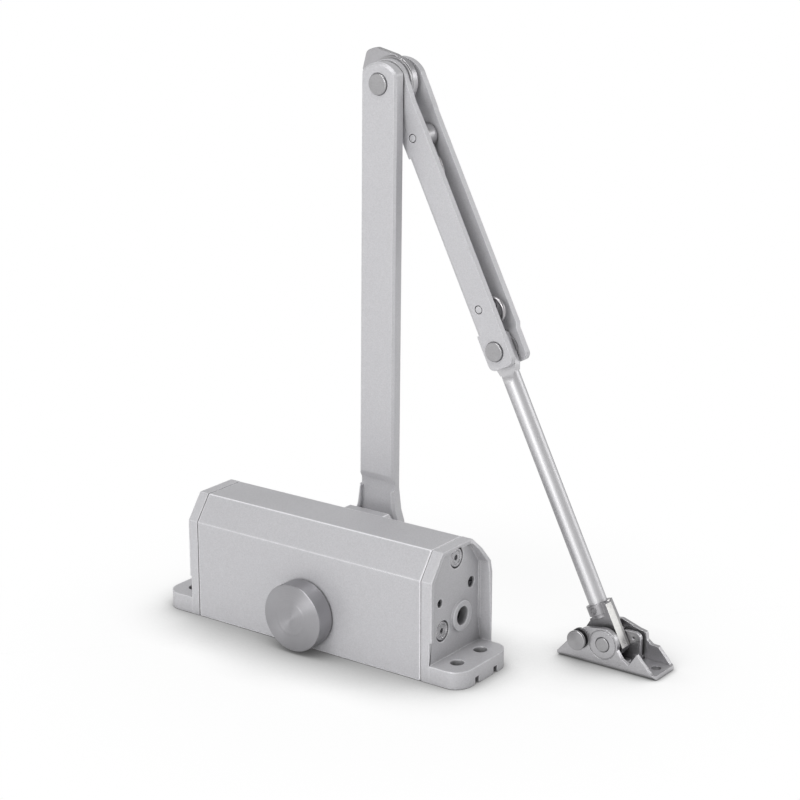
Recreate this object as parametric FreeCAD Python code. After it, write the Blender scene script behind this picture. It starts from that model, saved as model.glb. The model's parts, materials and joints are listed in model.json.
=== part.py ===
import FreeCAD, Part
import math
import os
from FreeCAD import Vector as V

# Surface door closer. X runs along the body, the front faces -Y, Z = 0 is the mounting face.
# The spindle lies along Y. The origin is on the mounting face, in line with the spindle.

# Closer body
BODY_LENGTH = 136.0
BODY_WIDTH = 42.0
BODY_HEIGHT = 62.0
CHAMFER_Y = 9.1
CHAMFER_Z = 12.4
SPINDLE_Z = 18.3
BORE_R = 14.0
BORE_Y = 4.0
BORE_Z = 26.0
BORE_END_WALL = 8.0
CROSS_BORE_R = 11.0
BOSS_DEPTH = 9.5
BOSS_TOP_Z = 56.0
BOSS_TOP_HALF = 12.0
BOSS_FOOT_HALF = 20.0
BOSS_SHOULDER_Z = 46.0
BOSS_BOTTOM_Z = 3.0

# Clearances
RUNNING = 0.05
SEAL_FIT = 0.03
SLIP = 0.15
SEAT_GAP = 0.2
THREAD_GAP = 0.1

# End covers and what they hold
GASKET = 0.4
GASKET_INSET = 0.5
COVER_FLOOR = 4.7
RIM_WIDTH = 2.0
RIM_RIGHT = 1.2
RIM_LEFT = 0.7
RIM_START_Z = 20.0
LOW_EDGE_STEP = 0.8
REAR_WALL = 1.8
REAR_WALL_REACH = 11.3
REAR_WALL_BEND_REACH = 9.1
REAR_WALL_LOW_Z = 7.5
REAR_WALL_MID_Z = 44.0
REAR_WALL_BEND_Z = 56.8
FLANGE_REACH = 22.6
FLANGE_THICK = 8.5
FLANGE_WIDTH = 39.0
FLANGE_CORNER_R = 8.0
HOLE_SPACING_X = 162.0
HOLE_SPACING_Y = 19.0
HOLE_R = 3.4
GROOVE_WIDTH = 3.2
GROOVE_HEIGHT = 3.4
GROOVE_LENGTH = 7.0
GROOVE_Y = 7.6
SCREW_HEAD_R = 4.7
SCREW_HEAD_THICK = 2.1
SCREW_RECESS = 2.3
SCREW_R = 2.2
SCREW_LENGTH = 10.0
SOCKET_R = 2.2
SOCKET_DEPTH = 1.4
TOP_SCREW = (1.0, 55.6)
LOW_SCREW_RIGHT = (-10.4, 22.6)
LOW_SCREW_LEFT = (-15.0, 22.6)

# Valves and power adjuster
CLOSING_VALVE = (-12.5, 37.0)
CLOSING_VALVE_R = 2.0
LATCHING_VALVE = (13.0, 40.0)
LATCHING_VALVE_R = 2.7
VALVE_LENGTH = 11.0
VALVE_DEPTH = 1.2
SLOT_WIDTH = 0.8
SLOT_DEPTH = 0.9
RING_R = 7.5
RING_PROUD = 1.5
ADJUSTER_R = 4.6
ADJUSTER_NECK_R = 3.6
ADJUSTER_DEPTH = 3.0
ADJUSTER_THREAD = 16.0
HEX_R = 2.9
HEX_DEPTH = 4.0
SEAT_THICK = 2.6
SEAT_R = 12.6
SEAT_FROM_WALL = 0.4

# Piston, rack and pinion
MODULE = 1.25
TEETH = 12
PRESSURE_ANGLE = 25.0
TOOTH_BACKLASH = 0.2
ADDENDUM = 1.0
DEDENDUM = 1.35
RACK_TEETH = 9
PISTON_LEFT = -38.0
PISTON_RIGHT = 17.0
PISTON_SLOT_LEFT = -32.0
PISTON_SLOT_RIGHT = 10.0
PINION_FRONT = -4.0
PINION_FACE = 16.0
SHAFT_R = 6.1
FRONT_JOURNAL_R = 7.0
REAR_JOURNAL_R = 8.0
FRONT_BEARING = (-17.0, -11.0)
REAR_BEARING = (18.8, 24.8)
FRONT_SEAL = (-19.4, -17.2)
REAR_SEAL = (25.0, 27.4)
RETAINER_THICK = 2.8
PISTON_RING_WIDTH = 2.2
PISTON_RING_DEPTH = 1.8
PISTON_RING_X = -35.2
CHECK_VALVE_R = 2.6
CHECK_VALVE_BORE_R = 0.9
CHECK_VALVE_Z = 35.5
CLOSING_SPRING_MEAN_R = 10.0
CLOSING_SPRING_WIRE = 2.8
CLOSING_SPRING_TURNS = 4

# Left end plug
PLUG_THREAD_R = 15.3
PLUG_THREAD_LENGTH = 7.5
PLUG_NOSE_LENGTH = 6.0
SEAL_SECTION_R = 0.9

# Front cap
CAP_R = 16.8
CAP_REACH = 10.6
CAP_GAP = 0.4
CAP_CONE = 1.1
CAP_CENTRE_R = 8.6
CAP_SPIGOT_R = 10.9
CAP_SPIGOT_LENGTH = 1.3

# Main arm, from the spindle up to the elbow
ARM_LENGTH = 248.0
ARM_TILT = 0.7
ARM_FRONT_Y = 34.5
ARM_THICK = 6.0
ARM_HALF = 10.2
ARM_TOP = 10.2
ARM_SHOULDER = 5.1
ARM_CORNER_R = 3.0
ARM_BEVEL = 1.2
ARM_HUB_R = 15.0
FLARE_TOP = 48.7
FLARE_MID = 37.7
FLARE_MID_HALF = 11.7
FLARE_LOW = 31.7
FLARE_LOW_HALF = 13.7
POCKET_DEPTH = 2.5
POCKET_TOP = 55.7
POCKET_SLOPE_END = 51.3
POCKET_BOTTOM = 34.0
POCKET_EAR = 2.4
SQUARE_DRIVE = 10.6
ARM_SCREW_HEAD_R = 5.0
ARM_SCREW_HEAD_THICK = 3.6
ARM_SCREW_R = 2.9
ARM_SCREW_LENGTH = 16.0
ARM_WASHER_R = 8.0
ARM_WASHER_THICK = 1.2

# Elbow stack, counted back from the arm
ELBOW_PIN_R = 4.0
ELBOW_HEAD_R = 5.15
ELBOW_HEAD_PROUD = 1.0
ELBOW_TAIL_R = 5.5
ELBOW_TAIL_THICK = 1.4
STACK_GAP = 0.15
THIN_WASHER = 0.6
THIN_WASHER_R = 9.5
CAM_WASHER = 1.1
CAM_WASHER_R = 12.0
CAM_THICK = 3.6
CAM_R = 12.2
SPACER_R = 8.0

# Forearm channel, measured from the elbow down its length
FOREARM_TILT = 26.4
SHEET = 3.4
CHANNEL_GAP = 9.2
WEB_ACROSS = 6.4
OPEN_ACROSS = 8.8
NEAR_OPEN_ACROSS = 7.8
NEAR_SHOULDER_ACROSS = 9.6
NEAR_JOGGLE = 3.0
NEAR_JOGGLE_AT = 13.5
NEAR_JOGGLE_RUN = 13.0
FAR_JOGGLE = 4.3
FAR_JOGGLE_AT = 8.6
FAR_JOGGLE_RUN = 9.4
TAPER_END = 20.0
KNEE_JOGGLE = 1.4
KNEE_JOGGLE_BELOW = 0.4
KNEE_JOGGLE_RUN = 2.4
ELBOW_END_R = 11.0
WEB_START = 37.0
WEB_END = 127.0
CHANNEL_END = 145.3
OUTER_BEND_R = 2.4
CHANNEL_CORNER_R = 3.5
RIVET_R = 2.1
RIVET_PROUD = 0.4
DETENT_AT = 28.7
ANCHOR_AT = 115.4
KNEE_AT = 136.6
KNEE_PIN_R = 3.5
KNEE_HEAD_R = 4.75
KNEE_HEAD_PROUD = 1.2
KNEE_TAIL_PROUD = 1.0
KNEE_WASHER_R = 6.0

# Hold-open detent and its spring
DETENT_HUB_R = 6.3
DETENT_HALF_THICK = 3.6
DETENT_NOSE_HALF = 2.2
DETENT_NOSE_REACH = 8.6
DETENT_TAIL = 14.0
DETENT_TAIL_HALF = 2.0
POST_ACROSS = 0.9
DETENT_TAIL_THICK = 1.6
POST_R = 1.3
SPRING_WIRE = 2.1
SPRING_MEAN_R = 2.75
SPRING_ACROSS = 1.1
SPRING_PITCH = 2.6
SPRING_TURNS = 21.0
SPRING_START = 53.0
LOOP_R = 6.05
LOOP_ACROSS = 2.0
LOOP_BELOW = 2.6
TOP_LOOP_R = 3.3

# Adjusting rod and adaptor
ROD_R = 4.5
ROD_ACROSS = -1.7
ROD_HEAD_TOP = 8.3
ROD_HEAD_LOW = 8.5
ROD_HEAD_LEFT = 7.2
ROD_HEAD_RIGHT = 4.65
ROD_HEAD_LEFT_R = 6.0
ROD_HEAD_RIGHT_R = 3.0
ROD_HEAD_THICK = 4.4
ROD_SHOULDER = 12.1
ROD_SHOULDER_RUN = 4.9
ROD_SLIDE = 4.0
ADAPTOR_LENGTH = 18.5
ROD_ENGAGED = 6.6
ROD_THREAD_R = 3.0
ROD_STEP = 1.5
COLLAR_R = 6.2
COLLAR_LENGTH = 5.0
COLLAR_GROOVE = 0.8
COLLAR_GROOVE_R = 5.3
BAR_LEFT = 5.1
BAR_RIGHT = 6.5
RIB_LEFT = 3.0
BAR_FRONT = 4.2
BAR_BACK = 4.1
BAR_LOW_BACK = 2.9
BAR_THICK_ABOVE = 7.5
BAR_TIP = 4.5
SLANT_FRONT_TOP = 0.3
SLANT_FRONT_LOW = 3.2
SLANT_CUT_TOP = 1.1
SLANT_CUT_LOW = 0.3
ADAPTOR_EYE_R = 8.3
ADAPTOR_BULGE = 8.5
ADAPTOR_BULGE_ABOVE = 9.8
ADAPTOR_BULGE_RUN = 2.2
SET_SCREW_R = 1.4

# Shoe on the frame
SHOE_SHEET = 2.2
SHOE_WIDTH = 18.4
SHOE_PIN_Z = 11.1
SHOE_PIN_R = 3.0
SHOE_HEAD_R = 3.55
SHOE_HEAD_PROUD = 0.5
SHOE_LEFT = 25.0
SHOE_RIGHT = 29.2
SHOE_ARC_R = 8.1
SHOE_BEND_R = 2.0
SHOE_HOLE_R = 2.35
SHOE_HOLE_RIGHT = 24.1
SHOE_HOLE_LEFT = 19.4
SHOE_WASHER_R = 7.8
SHOE_WASHER_THICK = 1.0
EMBOSS_R = 7.4
EMBOSS_WIDTH = 0.5
EMBOSS_DEPTH = 0.25
KNOB_R = 4.9
KNOB_THICK = 1.5
KNOB_STEM_R = 2.6
KNOB_HOLE_R = 4.9
KNOB_BACK = 12.9
KNOB_PROUD = 3.3
KNOB_LENGTH = 4.8
KNOB_BUSH_LENGTH = 1.4
STOP_PLATE_LEFT = 3.2
STOP_PLATE_RIGHT = 13.6
STOP_PLATE_TOP = 15.7
STOP_PLATE_THICK = 2.0
STOP_PLATE_FROM_WALL = 1.8
STOP_PLATE_HOLE_R = 0.65
FLOOR_RIVET_R = 2.2
FLOOR_RIVET_THICK = 1.0
FLOOR_RIVET_RIGHT = 9.0

X_AXIS = V(1, 0, 0)
Y_AXIS = V(0, 1, 0)
Z_AXIS = V(0, 0, 1)

# Places worked out from the sizes above
half_length = BODY_LENGTH / 2
half_width = BODY_WIDTH / 2
rear_face = half_width + BOSS_DEPTH
cover_back = half_length + GASKET
cover_face = cover_back + COVER_FLOOR
bore_end = half_length - BORE_END_WALL
pitch_r = MODULE * TEETH / 2
arm_back = ARM_FRONT_Y + ARM_THICK
spindle_point = V(0, 0, SPINDLE_Z)
elbow_point = V(
    ARM_LENGTH * math.sin(math.radians(ARM_TILT)),
    0,
    SPINDLE_Z + ARM_LENGTH * math.cos(math.radians(ARM_TILT)),
)
thin_washer_y = arm_back + STACK_GAP
near_flange_y = thin_washer_y + THIN_WASHER + STACK_GAP
cam_washer_y = near_flange_y + SHEET + STACK_GAP
cam_y = cam_washer_y + CAM_WASHER + STACK_GAP
near_wall_y = near_flange_y + NEAR_JOGGLE
far_wall_y = near_wall_y + SHEET + CHANNEL_GAP
far_flange_y = far_wall_y - FAR_JOGGLE
spacer_y = cam_y + CAM_THICK + STACK_GAP
mid_y = near_wall_y + SHEET + CHANNEL_GAP / 2
channel_back = far_wall_y + SHEET
tilt_sin = math.sin(math.radians(FOREARM_TILT))
tilt_cos = math.cos(math.radians(FOREARM_TILT))
shoe_pin_at = (elbow_point.z + ROD_ACROSS * tilt_sin - SHOE_PIN_Z) / tilt_cos
shoe_x = elbow_point.x + shoe_pin_at * tilt_sin + ROD_ACROSS * tilt_cos
adaptor_top = shoe_pin_at - ADAPTOR_LENGTH
rod_end = adaptor_top + ROD_ENGAGED
shoe_front = mid_y - SHOE_WIDTH / 2
shoe_back = mid_y + SHOE_WIDTH / 2


def box(x0, x1, y0, y1, z0, z1):
    return Part.makeBox(x1 - x0, y1 - y0, z1 - z0, V(x0, y0, z0))


def rod_x(x0, x1, y, z, r):
    return Part.makeCylinder(r, x1 - x0, V(x0, y, z), X_AXIS)


def rod_y(y0, y1, x, z, r):
    return Part.makeCylinder(r, y1 - y0, V(x, y0, z), Y_AXIS)


def rod_z(z0, z1, x, y, r):
    return Part.makeCylinder(r, z1 - z0, V(x, y, z0), Z_AXIS)


def ring_y(y0, y1, x, z, r_out, r_in):
    return rod_y(y0, y1, x, z, r_out).cut(rod_y(y0 - 1, y1 + 1, x, z, r_in))


def ring_x(x0, x1, y, z, r_out, r_in):
    return rod_x(x0, x1, y, z, r_out).cut(rod_x(x0 - 1, x1 + 1, y, z, r_in))


def fuse(first, *others):
    joined = first
    for other in others:
        joined = joined.fuse(other)
    return joined.removeSplitter()


def cut(first, *tools):
    left = first
    for tool in tools:
        left = left.cut(tool)
    return left


def rounded_wire(points, radii):
    """A closed wire through the points, each corner rounded by its radius."""
    count = len(points)
    starts = []
    for i in range(count):
        here = points[i]
        before = points[i - 1].sub(here)
        after = points[(i + 1) % count].sub(here)
        if radii[i] <= 0:
            starts.append((here, None, here))
            continue
        before_dir = V(before).normalize()
        after_dir = V(after).normalize()
        half = before_dir.getAngle(after_dir) / 2
        back = radii[i] / math.tan(half)
        middle = V(before_dir.add(after_dir)).normalize()
        centre = here.add(middle * (radii[i] / math.sin(half)))
        top = centre.sub(middle * radii[i])
        starts.append((here.add(before_dir * back), top, here.add(after_dir * back)))
    edges = []
    for i in range(count):
        first, top, last = starts[i]
        if top is not None:
            edges.append(Part.Arc(first, top, last).toShape())
        following = starts[(i + 1) % count][0]
        if last.sub(following).Length > 1e-6:
            edges.append(Part.LineSegment(last, following).toShape())
    return Part.Wire(Part.__sortEdges__(edges))


def plate_y(points, y0, y1, radii=None):
    """A plate in the XZ plane from a list of (x, z) corners."""
    corners = [V(x, y0, z) for x, z in points]
    wire = rounded_wire(corners, radii or [0] * len(corners))
    return Part.Face(wire).extrude(V(0, y1 - y0, 0))


def plate_x(points, x0, x1, radii=None):
    """A plate in the YZ plane from a list of (y, z) corners."""
    corners = [V(x0, y, z) for y, z in points]
    wire = rounded_wire(corners, radii or [0] * len(corners))
    return Part.Face(wire).extrude(V(x1 - x0, 0, 0))


def plate_z(points, z0, z1, radii=None):
    """A plate in the XY plane from a list of (x, y) corners."""
    corners = [V(x, y, z0) for x, y in points]
    wire = rounded_wire(corners, radii or [0] * len(corners))
    return Part.Face(wire).extrude(V(0, 0, z1 - z0))


def place(shape, tilt, point):
    """Turn a shape built at the origin about Y and carry it to its joint."""
    moved = shape.copy()
    moved.rotate(V(0, 0, 0), Y_AXIS, tilt)
    moved.translate(point)
    return moved


def on_arm(shape):
    return place(shape, ARM_TILT, spindle_point)


def on_forearm(shape):
    return place(shape, -FOREARM_TILT, elbow_point)


def biarc(p0, t0, p1, t1):
    """Two tangent arcs that join two points with their directions."""
    span = p1.sub(p0)
    both = t0.add(t1)
    a = 2 * (1 - t0.dot(t1))
    b = 2 * span.dot(both)
    c = -span.dot(span)
    if abs(a) < 1e-9:
        reach = -c / b
    else:
        reach = (-b + math.sqrt(b * b - 4 * a * c)) / (2 * a)
    q0 = p0.add(t0 * reach)
    q1 = p1.sub(t1 * reach)
    joint = (q0.add(q1)) * 0.5
    return [arc_from(p0, t0, joint), arc_to(joint, p1, t1)]


def arc_from(start, direction, end):
    """An arc that leaves a point in a direction and ends at another point."""
    chord = end.sub(start)
    along = direction.dot(chord)
    side = chord.sub(direction * along)
    if side.Length < 1e-7:
        return Part.LineSegment(start, end).toShape()
    normal = V(side).normalize()
    radius = chord.dot(chord) / (2 * chord.dot(normal))
    centre = start.add(normal * radius)
    middle = start.add(chord * 0.5)
    outward = V(middle.sub(centre)).normalize()
    if along < 0:
        outward = outward * -1
    return Part.Arc(start, centre.add(outward * abs(radius)), end).toShape()


def arc_to(start, end, direction):
    return arc_from(end, direction * -1, start)


def tube(nodes, wire_r):
    """One unbroken round wire through (point, direction) pairs."""
    edges = []
    for (p0, t0), (p1, t1) in zip(nodes, nodes[1:]):
        edges += biarc(p0, t0, p1, t1)
    path = Part.Wire(Part.__sortEdges__(edges))
    ring = Part.Wire(Part.makeCircle(wire_r, nodes[0][0], nodes[0][1]))
    shell = Part.BRepOffsetAPI.MakePipeShell(path)
    shell.add(ring)
    shell.build()
    shell.makeSolid()
    return shell.shape()


def helix_nodes(origin, axis, side, mean_r, pitch, turns, phase=0.0, per_turn=4):
    """Points and directions of a helix, a quarter turn apart."""
    other = axis.cross(side)
    nodes = []
    for i in range(int(round(turns * per_turn)) + 1):
        angle = 2 * math.pi * i / per_turn + phase
        radial = side * math.cos(angle) + other * math.sin(angle)
        ahead = other * math.cos(angle) - side * math.sin(angle)
        point = origin + radial * mean_r + axis * (pitch * i / per_turn)
        direction = ahead * (2 * math.pi * mean_r) + axis * pitch
        nodes.append((point, V(direction).normalize()))
    return nodes


def body_outline(inset=0.0):
    """Corners of the chamfered end shape, drawn in by an inset."""
    slope = math.atan2(CHAMFER_Z, CHAMFER_Y)
    side = half_width - inset
    top = BODY_HEIGHT - inset
    shift = inset * math.tan((math.pi / 2 - slope) / 2)
    rise = inset * math.tan(slope / 2)
    shoulder = BODY_HEIGHT - CHAMFER_Z - shift
    flat = half_width - CHAMFER_Y - rise
    return [(-side, inset), (side, inset), (side, shoulder), (flat, top), (-flat, top), (-side, shoulder)]


def socket_star(x0, x1, y, z):
    """A six-lobed driving recess along X."""
    core = rod_x(x0, x1, y, z, SOCKET_R * 0.78)
    for i in range(6):
        turn = math.radians(60 * i)
        lobe_y = y + SOCKET_R * 0.8 * math.cos(turn)
        lobe_z = z + SOCKET_R * 0.8 * math.sin(turn)
        core = core.fuse(rod_x(x0, x1, lobe_y, lobe_z, SOCKET_R * 0.24))
    return core


def closer_body():
    block = plate_x(body_outline(), -half_length, half_length)
    half_top, half_foot = BOSS_TOP_HALF, BOSS_FOOT_HALF
    boss = plate_y(
        [
            (-half_foot, BOSS_BOTTOM_Z),
            (half_foot, BOSS_BOTTOM_Z),
            (half_foot, BOSS_SHOULDER_Z),
            (half_top, BOSS_TOP_Z),
            (-half_top, BOSS_TOP_Z),
            (-half_foot, BOSS_SHOULDER_Z),
        ],
        0,
        rear_face,
        [4, 4, 0, 0, 0, 0],
    )
    body = fuse(block, boss)
    body = cut(
        body,
        rod_x(-half_length - 1, bore_end, BORE_Y, BORE_Z, BORE_R),
        rod_x(-half_length - 1, -half_length + PLUG_THREAD_LENGTH, BORE_Y, BORE_Z, PLUG_THREAD_R + THREAD_GAP),
        rod_y(-half_width - 1, rear_face + 1, 0, SPINDLE_Z, CROSS_BORE_R),
        rod_x(bore_end - 1, half_length + 1, BORE_Y, BORE_Z, ADJUSTER_R + RUNNING),
    )
    for y, z, r in valve_places():
        body = body.cut(rod_x(valve_start() - 0.5, half_length + 1, y, z, r + RUNNING))
    for y, z, side in screw_places():
        inner = side * (half_length - SCREW_LENGTH)
        outer = side * (half_length + 1)
        body = body.cut(rod_x(min(inner, outer), max(inner, outer), y, z, SCREW_R + THREAD_GAP))
    return body


def valve_places():
    return [CLOSING_VALVE + (CLOSING_VALVE_R,), LATCHING_VALVE + (LATCHING_VALVE_R,)]


def valve_start():
    return cover_face - VALVE_DEPTH - VALVE_LENGTH


def screw_places():
    return [
        TOP_SCREW + (1,),
        LOW_SCREW_RIGHT + (1,),
        TOP_SCREW + (-1,),
        LOW_SCREW_LEFT + (-1,),
    ]


def front_step():
    """The front edge stands lower than the cover's floor beneath the rim."""
    return box(cover_face - LOW_EDGE_STEP, cover_face + 1, -half_width - 1, -half_width + RIM_WIDTH, 0, RIM_START_Z)


def cover_shell(rim):
    """One end cover without its holes, built at the +X end."""
    floor = plate_x(body_outline(), cover_back, cover_face)
    rim_ring = plate_x(body_outline(), cover_face, cover_face + rim)
    rim_ring = rim_ring.cut(plate_x(body_outline(RIM_WIDTH), cover_face - 1, cover_face + rim + 1))
    rim_ring = rim_ring.common(box(cover_face, cover_face + rim, -half_width, half_width, RIM_START_Z, BODY_HEIGHT))
    wall_ring = plate_x(body_outline(), cover_face, cover_back + REAR_WALL_REACH)
    wall_ring = wall_ring.cut(plate_x(body_outline(REAR_WALL), cover_face - 1, cover_back + REAR_WALL_REACH + 1))
    rear_side = plate_y(
        [
            (cover_face, REAR_WALL_LOW_Z),
            (cover_back + REAR_WALL_REACH, REAR_WALL_LOW_Z),
            (cover_back + REAR_WALL_REACH, REAR_WALL_MID_Z),
            (cover_back + REAR_WALL_BEND_REACH, REAR_WALL_BEND_Z),
            (cover_face + rim, BODY_HEIGHT),
            (cover_face, BODY_HEIGHT),
        ],
        half_width - CHAMFER_Y - RIM_WIDTH,
        half_width,
    )
    rear_wall = wall_ring.common(rear_side)
    end = cover_back + FLANGE_REACH
    flange = plate_z(
        [
            (cover_back, -FLANGE_WIDTH / 2),
            (end, -FLANGE_WIDTH / 2),
            (end, FLANGE_WIDTH / 2),
            (cover_back, FLANGE_WIDTH / 2),
        ],
        0,
        FLANGE_THICK,
        [0, FLANGE_CORNER_R, FLANGE_CORNER_R, 0],
    )
    shell = fuse(floor, rim_ring, rear_wall, flange).cut(front_step())
    for side in (-1, 1):
        shell = shell.cut(rod_z(-1, FLANGE_THICK + 1, HOLE_SPACING_X / 2, side * HOLE_SPACING_Y / 2, HOLE_R))
        y = side * GROOVE_Y
        shell = shell.cut(box(end - GROOVE_LENGTH, end + 1, y - GROOVE_WIDTH / 2, y + GROOVE_WIDTH / 2, -1, GROOVE_HEIGHT))
    return shell


def screw_cuts(places):
    """Clearance holes and head recesses for cover screws, at the +X end."""
    tools = []
    for y, z in places:
        tools.append(rod_x(cover_back - 1, cover_face + 1, y, z, SCREW_R + SLIP))
        tools.append(rod_x(cover_face - SCREW_RECESS, cover_face + 3, y, z, SCREW_HEAD_R + 0.5))
    return tools


def right_cover():
    cover = cover_shell(RIM_RIGHT)
    ring = rod_x(cover_face - 1, cover_face + RING_PROUD, BORE_Y, BORE_Z, RING_R)
    cover = fuse(cover, ring)
    cover = cut(cover, *screw_cuts([TOP_SCREW, LOW_SCREW_RIGHT]))
    for y, z, r in valve_places():
        cover = cover.cut(rod_x(cover_back - 1, cover_face + 1, y, z, r + RUNNING))
    return cover.cut(rod_x(cover_back - 1, cover_face + RING_PROUD + 1, BORE_Y, BORE_Z, ADJUSTER_R + RUNNING))


def mirrored(shape):
    return shape.mirror(V(0, 0, 0), X_AXIS)


def left_cover():
    cover = cut(cover_shell(RIM_LEFT), *screw_cuts([TOP_SCREW, LOW_SCREW_LEFT]))
    return mirrored(cover)


def gasket(side, places, hole_r):
    sheet = plate_x(body_outline(GASKET_INSET), half_length, cover_back)
    for y, z in places:
        sheet = sheet.cut(rod_x(half_length - 1, cover_back + 1, y, z, SCREW_R + SLIP))
    if side > 0:
        for y, z, r in valve_places():
            sheet = sheet.cut(rod_x(half_length - 1, cover_back + 1, y, z, r + RUNNING))
    sheet = sheet.cut(rod_x(half_length - 1, cover_back + 1, BORE_Y, BORE_Z, hole_r))
    return sheet if side > 0 else mirrored(sheet)


def cover_screw(y, z, side):
    seat = cover_face - SCREW_RECESS
    head = rod_x(seat, seat + SCREW_HEAD_THICK, y, z, SCREW_HEAD_R)
    head = head.makeChamfer(0.4, [e for e in head.Edges if e.BoundBox.XMin > seat + 1])
    shank = rod_x(half_length - SCREW_LENGTH + 1, seat, y, z, SCREW_R)
    screw = fuse(head, shank)
    screw = screw.cut(socket_star(seat + SCREW_HEAD_THICK - SOCKET_DEPTH, seat + 4, y, z))
    return screw if side > 0 else mirrored(screw)


def cover_screws():
    return Part.makeCompound([cover_screw(y, z, side) for y, z, side in screw_places()])


def end_plug():
    outer = -half_length + GASKET
    thread = rod_x(outer, -half_length + PLUG_THREAD_LENGTH, BORE_Y, BORE_Z, PLUG_THREAD_R)
    nose_end = -half_length + PLUG_THREAD_LENGTH + PLUG_NOSE_LENGTH
    nose = rod_x(-half_length + PLUG_THREAD_LENGTH, nose_end, BORE_Y, BORE_Z, BORE_R - SLIP)
    groove_x = plug_seal_x()
    groove_half = SEAL_SECTION_R + 0.2
    groove_r = BORE_R - SEAL_FIT - 2 * SEAL_SECTION_R
    groove = ring_x(groove_x - groove_half, groove_x + groove_half, BORE_Y, BORE_Z, BORE_R + 1, groove_r)
    socket = hexagon_x(outer - 1, outer + 4, BORE_Y, BORE_Z, 5.0)
    return cut(fuse(thread, nose), groove, socket)


def plug_seal_x():
    return -half_length + PLUG_THREAD_LENGTH + PLUG_NOSE_LENGTH / 2


def end_plug_seal():
    mean_r = BORE_R - SEAL_FIT - SEAL_SECTION_R + 0.01
    return Part.makeTorus(mean_r, SEAL_SECTION_R - 0.02, V(plug_seal_x(), BORE_Y, BORE_Z), X_AXIS)


def hexagon_x(x0, x1, y, z, r):
    corners = []
    for i in range(6):
        turn = math.radians(60 * i)
        corners.append((y + r * math.cos(turn), z + r * math.sin(turn)))
    return plate_x(corners, x0, x1)


def valve(y, z, r):
    start = valve_start()
    end = start + VALVE_LENGTH
    needle = Part.makeCone(r * 0.35, r, 3.0, V(start, y, z), X_AXIS)
    stem = rod_x(start + 3.0, end, y, z, r)
    slot = box(end - SLOT_DEPTH, end + 1, y - r - 1, y + r + 1, z - SLOT_WIDTH / 2, z + SLOT_WIDTH / 2)
    return fuse(needle, stem).cut(slot)


def power_adjuster():
    end = cover_face - ADJUSTER_DEPTH
    head = rod_x(bore_end + 0.5, end, BORE_Y, BORE_Z, ADJUSTER_R)
    thread = rod_x(bore_end - ADJUSTER_THREAD, bore_end + 0.5, BORE_Y, BORE_Z, ADJUSTER_NECK_R)
    return fuse(head, thread).cut(hexagon_x(end - HEX_DEPTH, end + 1, BORE_Y, BORE_Z, HEX_R))


def spring_seat():
    x1 = bore_end - SEAT_FROM_WALL
    return ring_x(x1 - SEAT_THICK, x1, BORE_Y, BORE_Z, SEAT_R, ADJUSTER_NECK_R + RUNNING)


def closing_spring():
    start = PISTON_RIGHT + CLOSING_SPRING_WIRE / 2 + 0.3
    end = bore_end - SEAT_FROM_WALL - SEAT_THICK - CLOSING_SPRING_WIRE / 2 - 0.3
    pitch = (end - start) / CLOSING_SPRING_TURNS
    nodes = helix_nodes(
        V(start, BORE_Y, BORE_Z), X_AXIS, Z_AXIS, CLOSING_SPRING_MEAN_R, pitch, CLOSING_SPRING_TURNS
    )
    return tube(nodes, CLOSING_SPRING_WIRE / 2)


def rack_root_z():
    return SPINDLE_Z + pitch_r + DEDENDUM


def rack_tooth(x):
    """One rack tooth that points down, centred at x."""
    lean = math.tan(math.radians(PRESSURE_ANGLE))
    half = math.pi * MODULE / 4 - TOOTH_BACKLASH / 2
    pitch_z = SPINDLE_Z + pitch_r
    top_half = half + lean * (DEDENDUM + 0.2)
    tip_half = half - lean * ADDENDUM
    top_z = rack_root_z() + 0.2
    tip_z = pitch_z - ADDENDUM
    corners = [(x - top_half, top_z), (x + top_half, top_z), (x + tip_half, tip_z), (x - tip_half, tip_z)]
    return plate_y(corners, PINION_FRONT, PINION_FRONT + PINION_FACE)


def piston():
    core = rod_x(PISTON_LEFT, PISTON_RIGHT, BORE_Y, BORE_Z, BORE_R - SEAL_FIT)
    slot = box(PISTON_SLOT_LEFT, PISTON_SLOT_RIGHT, -half_width, half_width, 0, rack_root_z())
    half_ring = PISTON_RING_WIDTH / 2 + SEAT_GAP
    groove = ring_x(
        PISTON_RING_X - half_ring,
        PISTON_RING_X + half_ring,
        BORE_Y,
        BORE_Z,
        BORE_R + 1,
        BORE_R - SEAL_FIT - PISTON_RING_DEPTH - RUNNING,
    )
    valve_hole = rod_x(PISTON_LEFT - 1, PISTON_SLOT_LEFT + 1, BORE_Y, CHECK_VALVE_Z, CHECK_VALVE_R + SEAL_FIT)
    body = cut(core, slot, groove, valve_hole)
    for i in range(RACK_TEETH):
        body = body.fuse(rack_tooth((2 - i) * math.pi * MODULE))
    return body


def piston_ring():
    half = PISTON_RING_WIDTH / 2
    return ring_x(
        PISTON_RING_X - half,
        PISTON_RING_X + half,
        BORE_Y,
        BORE_Z,
        BORE_R - SEAL_FIT,
        BORE_R - SEAL_FIT - PISTON_RING_DEPTH,
    )


def check_valve():
    return ring_x(PISTON_LEFT, PISTON_SLOT_LEFT, BORE_Y, CHECK_VALVE_Z, CHECK_VALVE_R, CHECK_VALVE_BORE_R)


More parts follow.
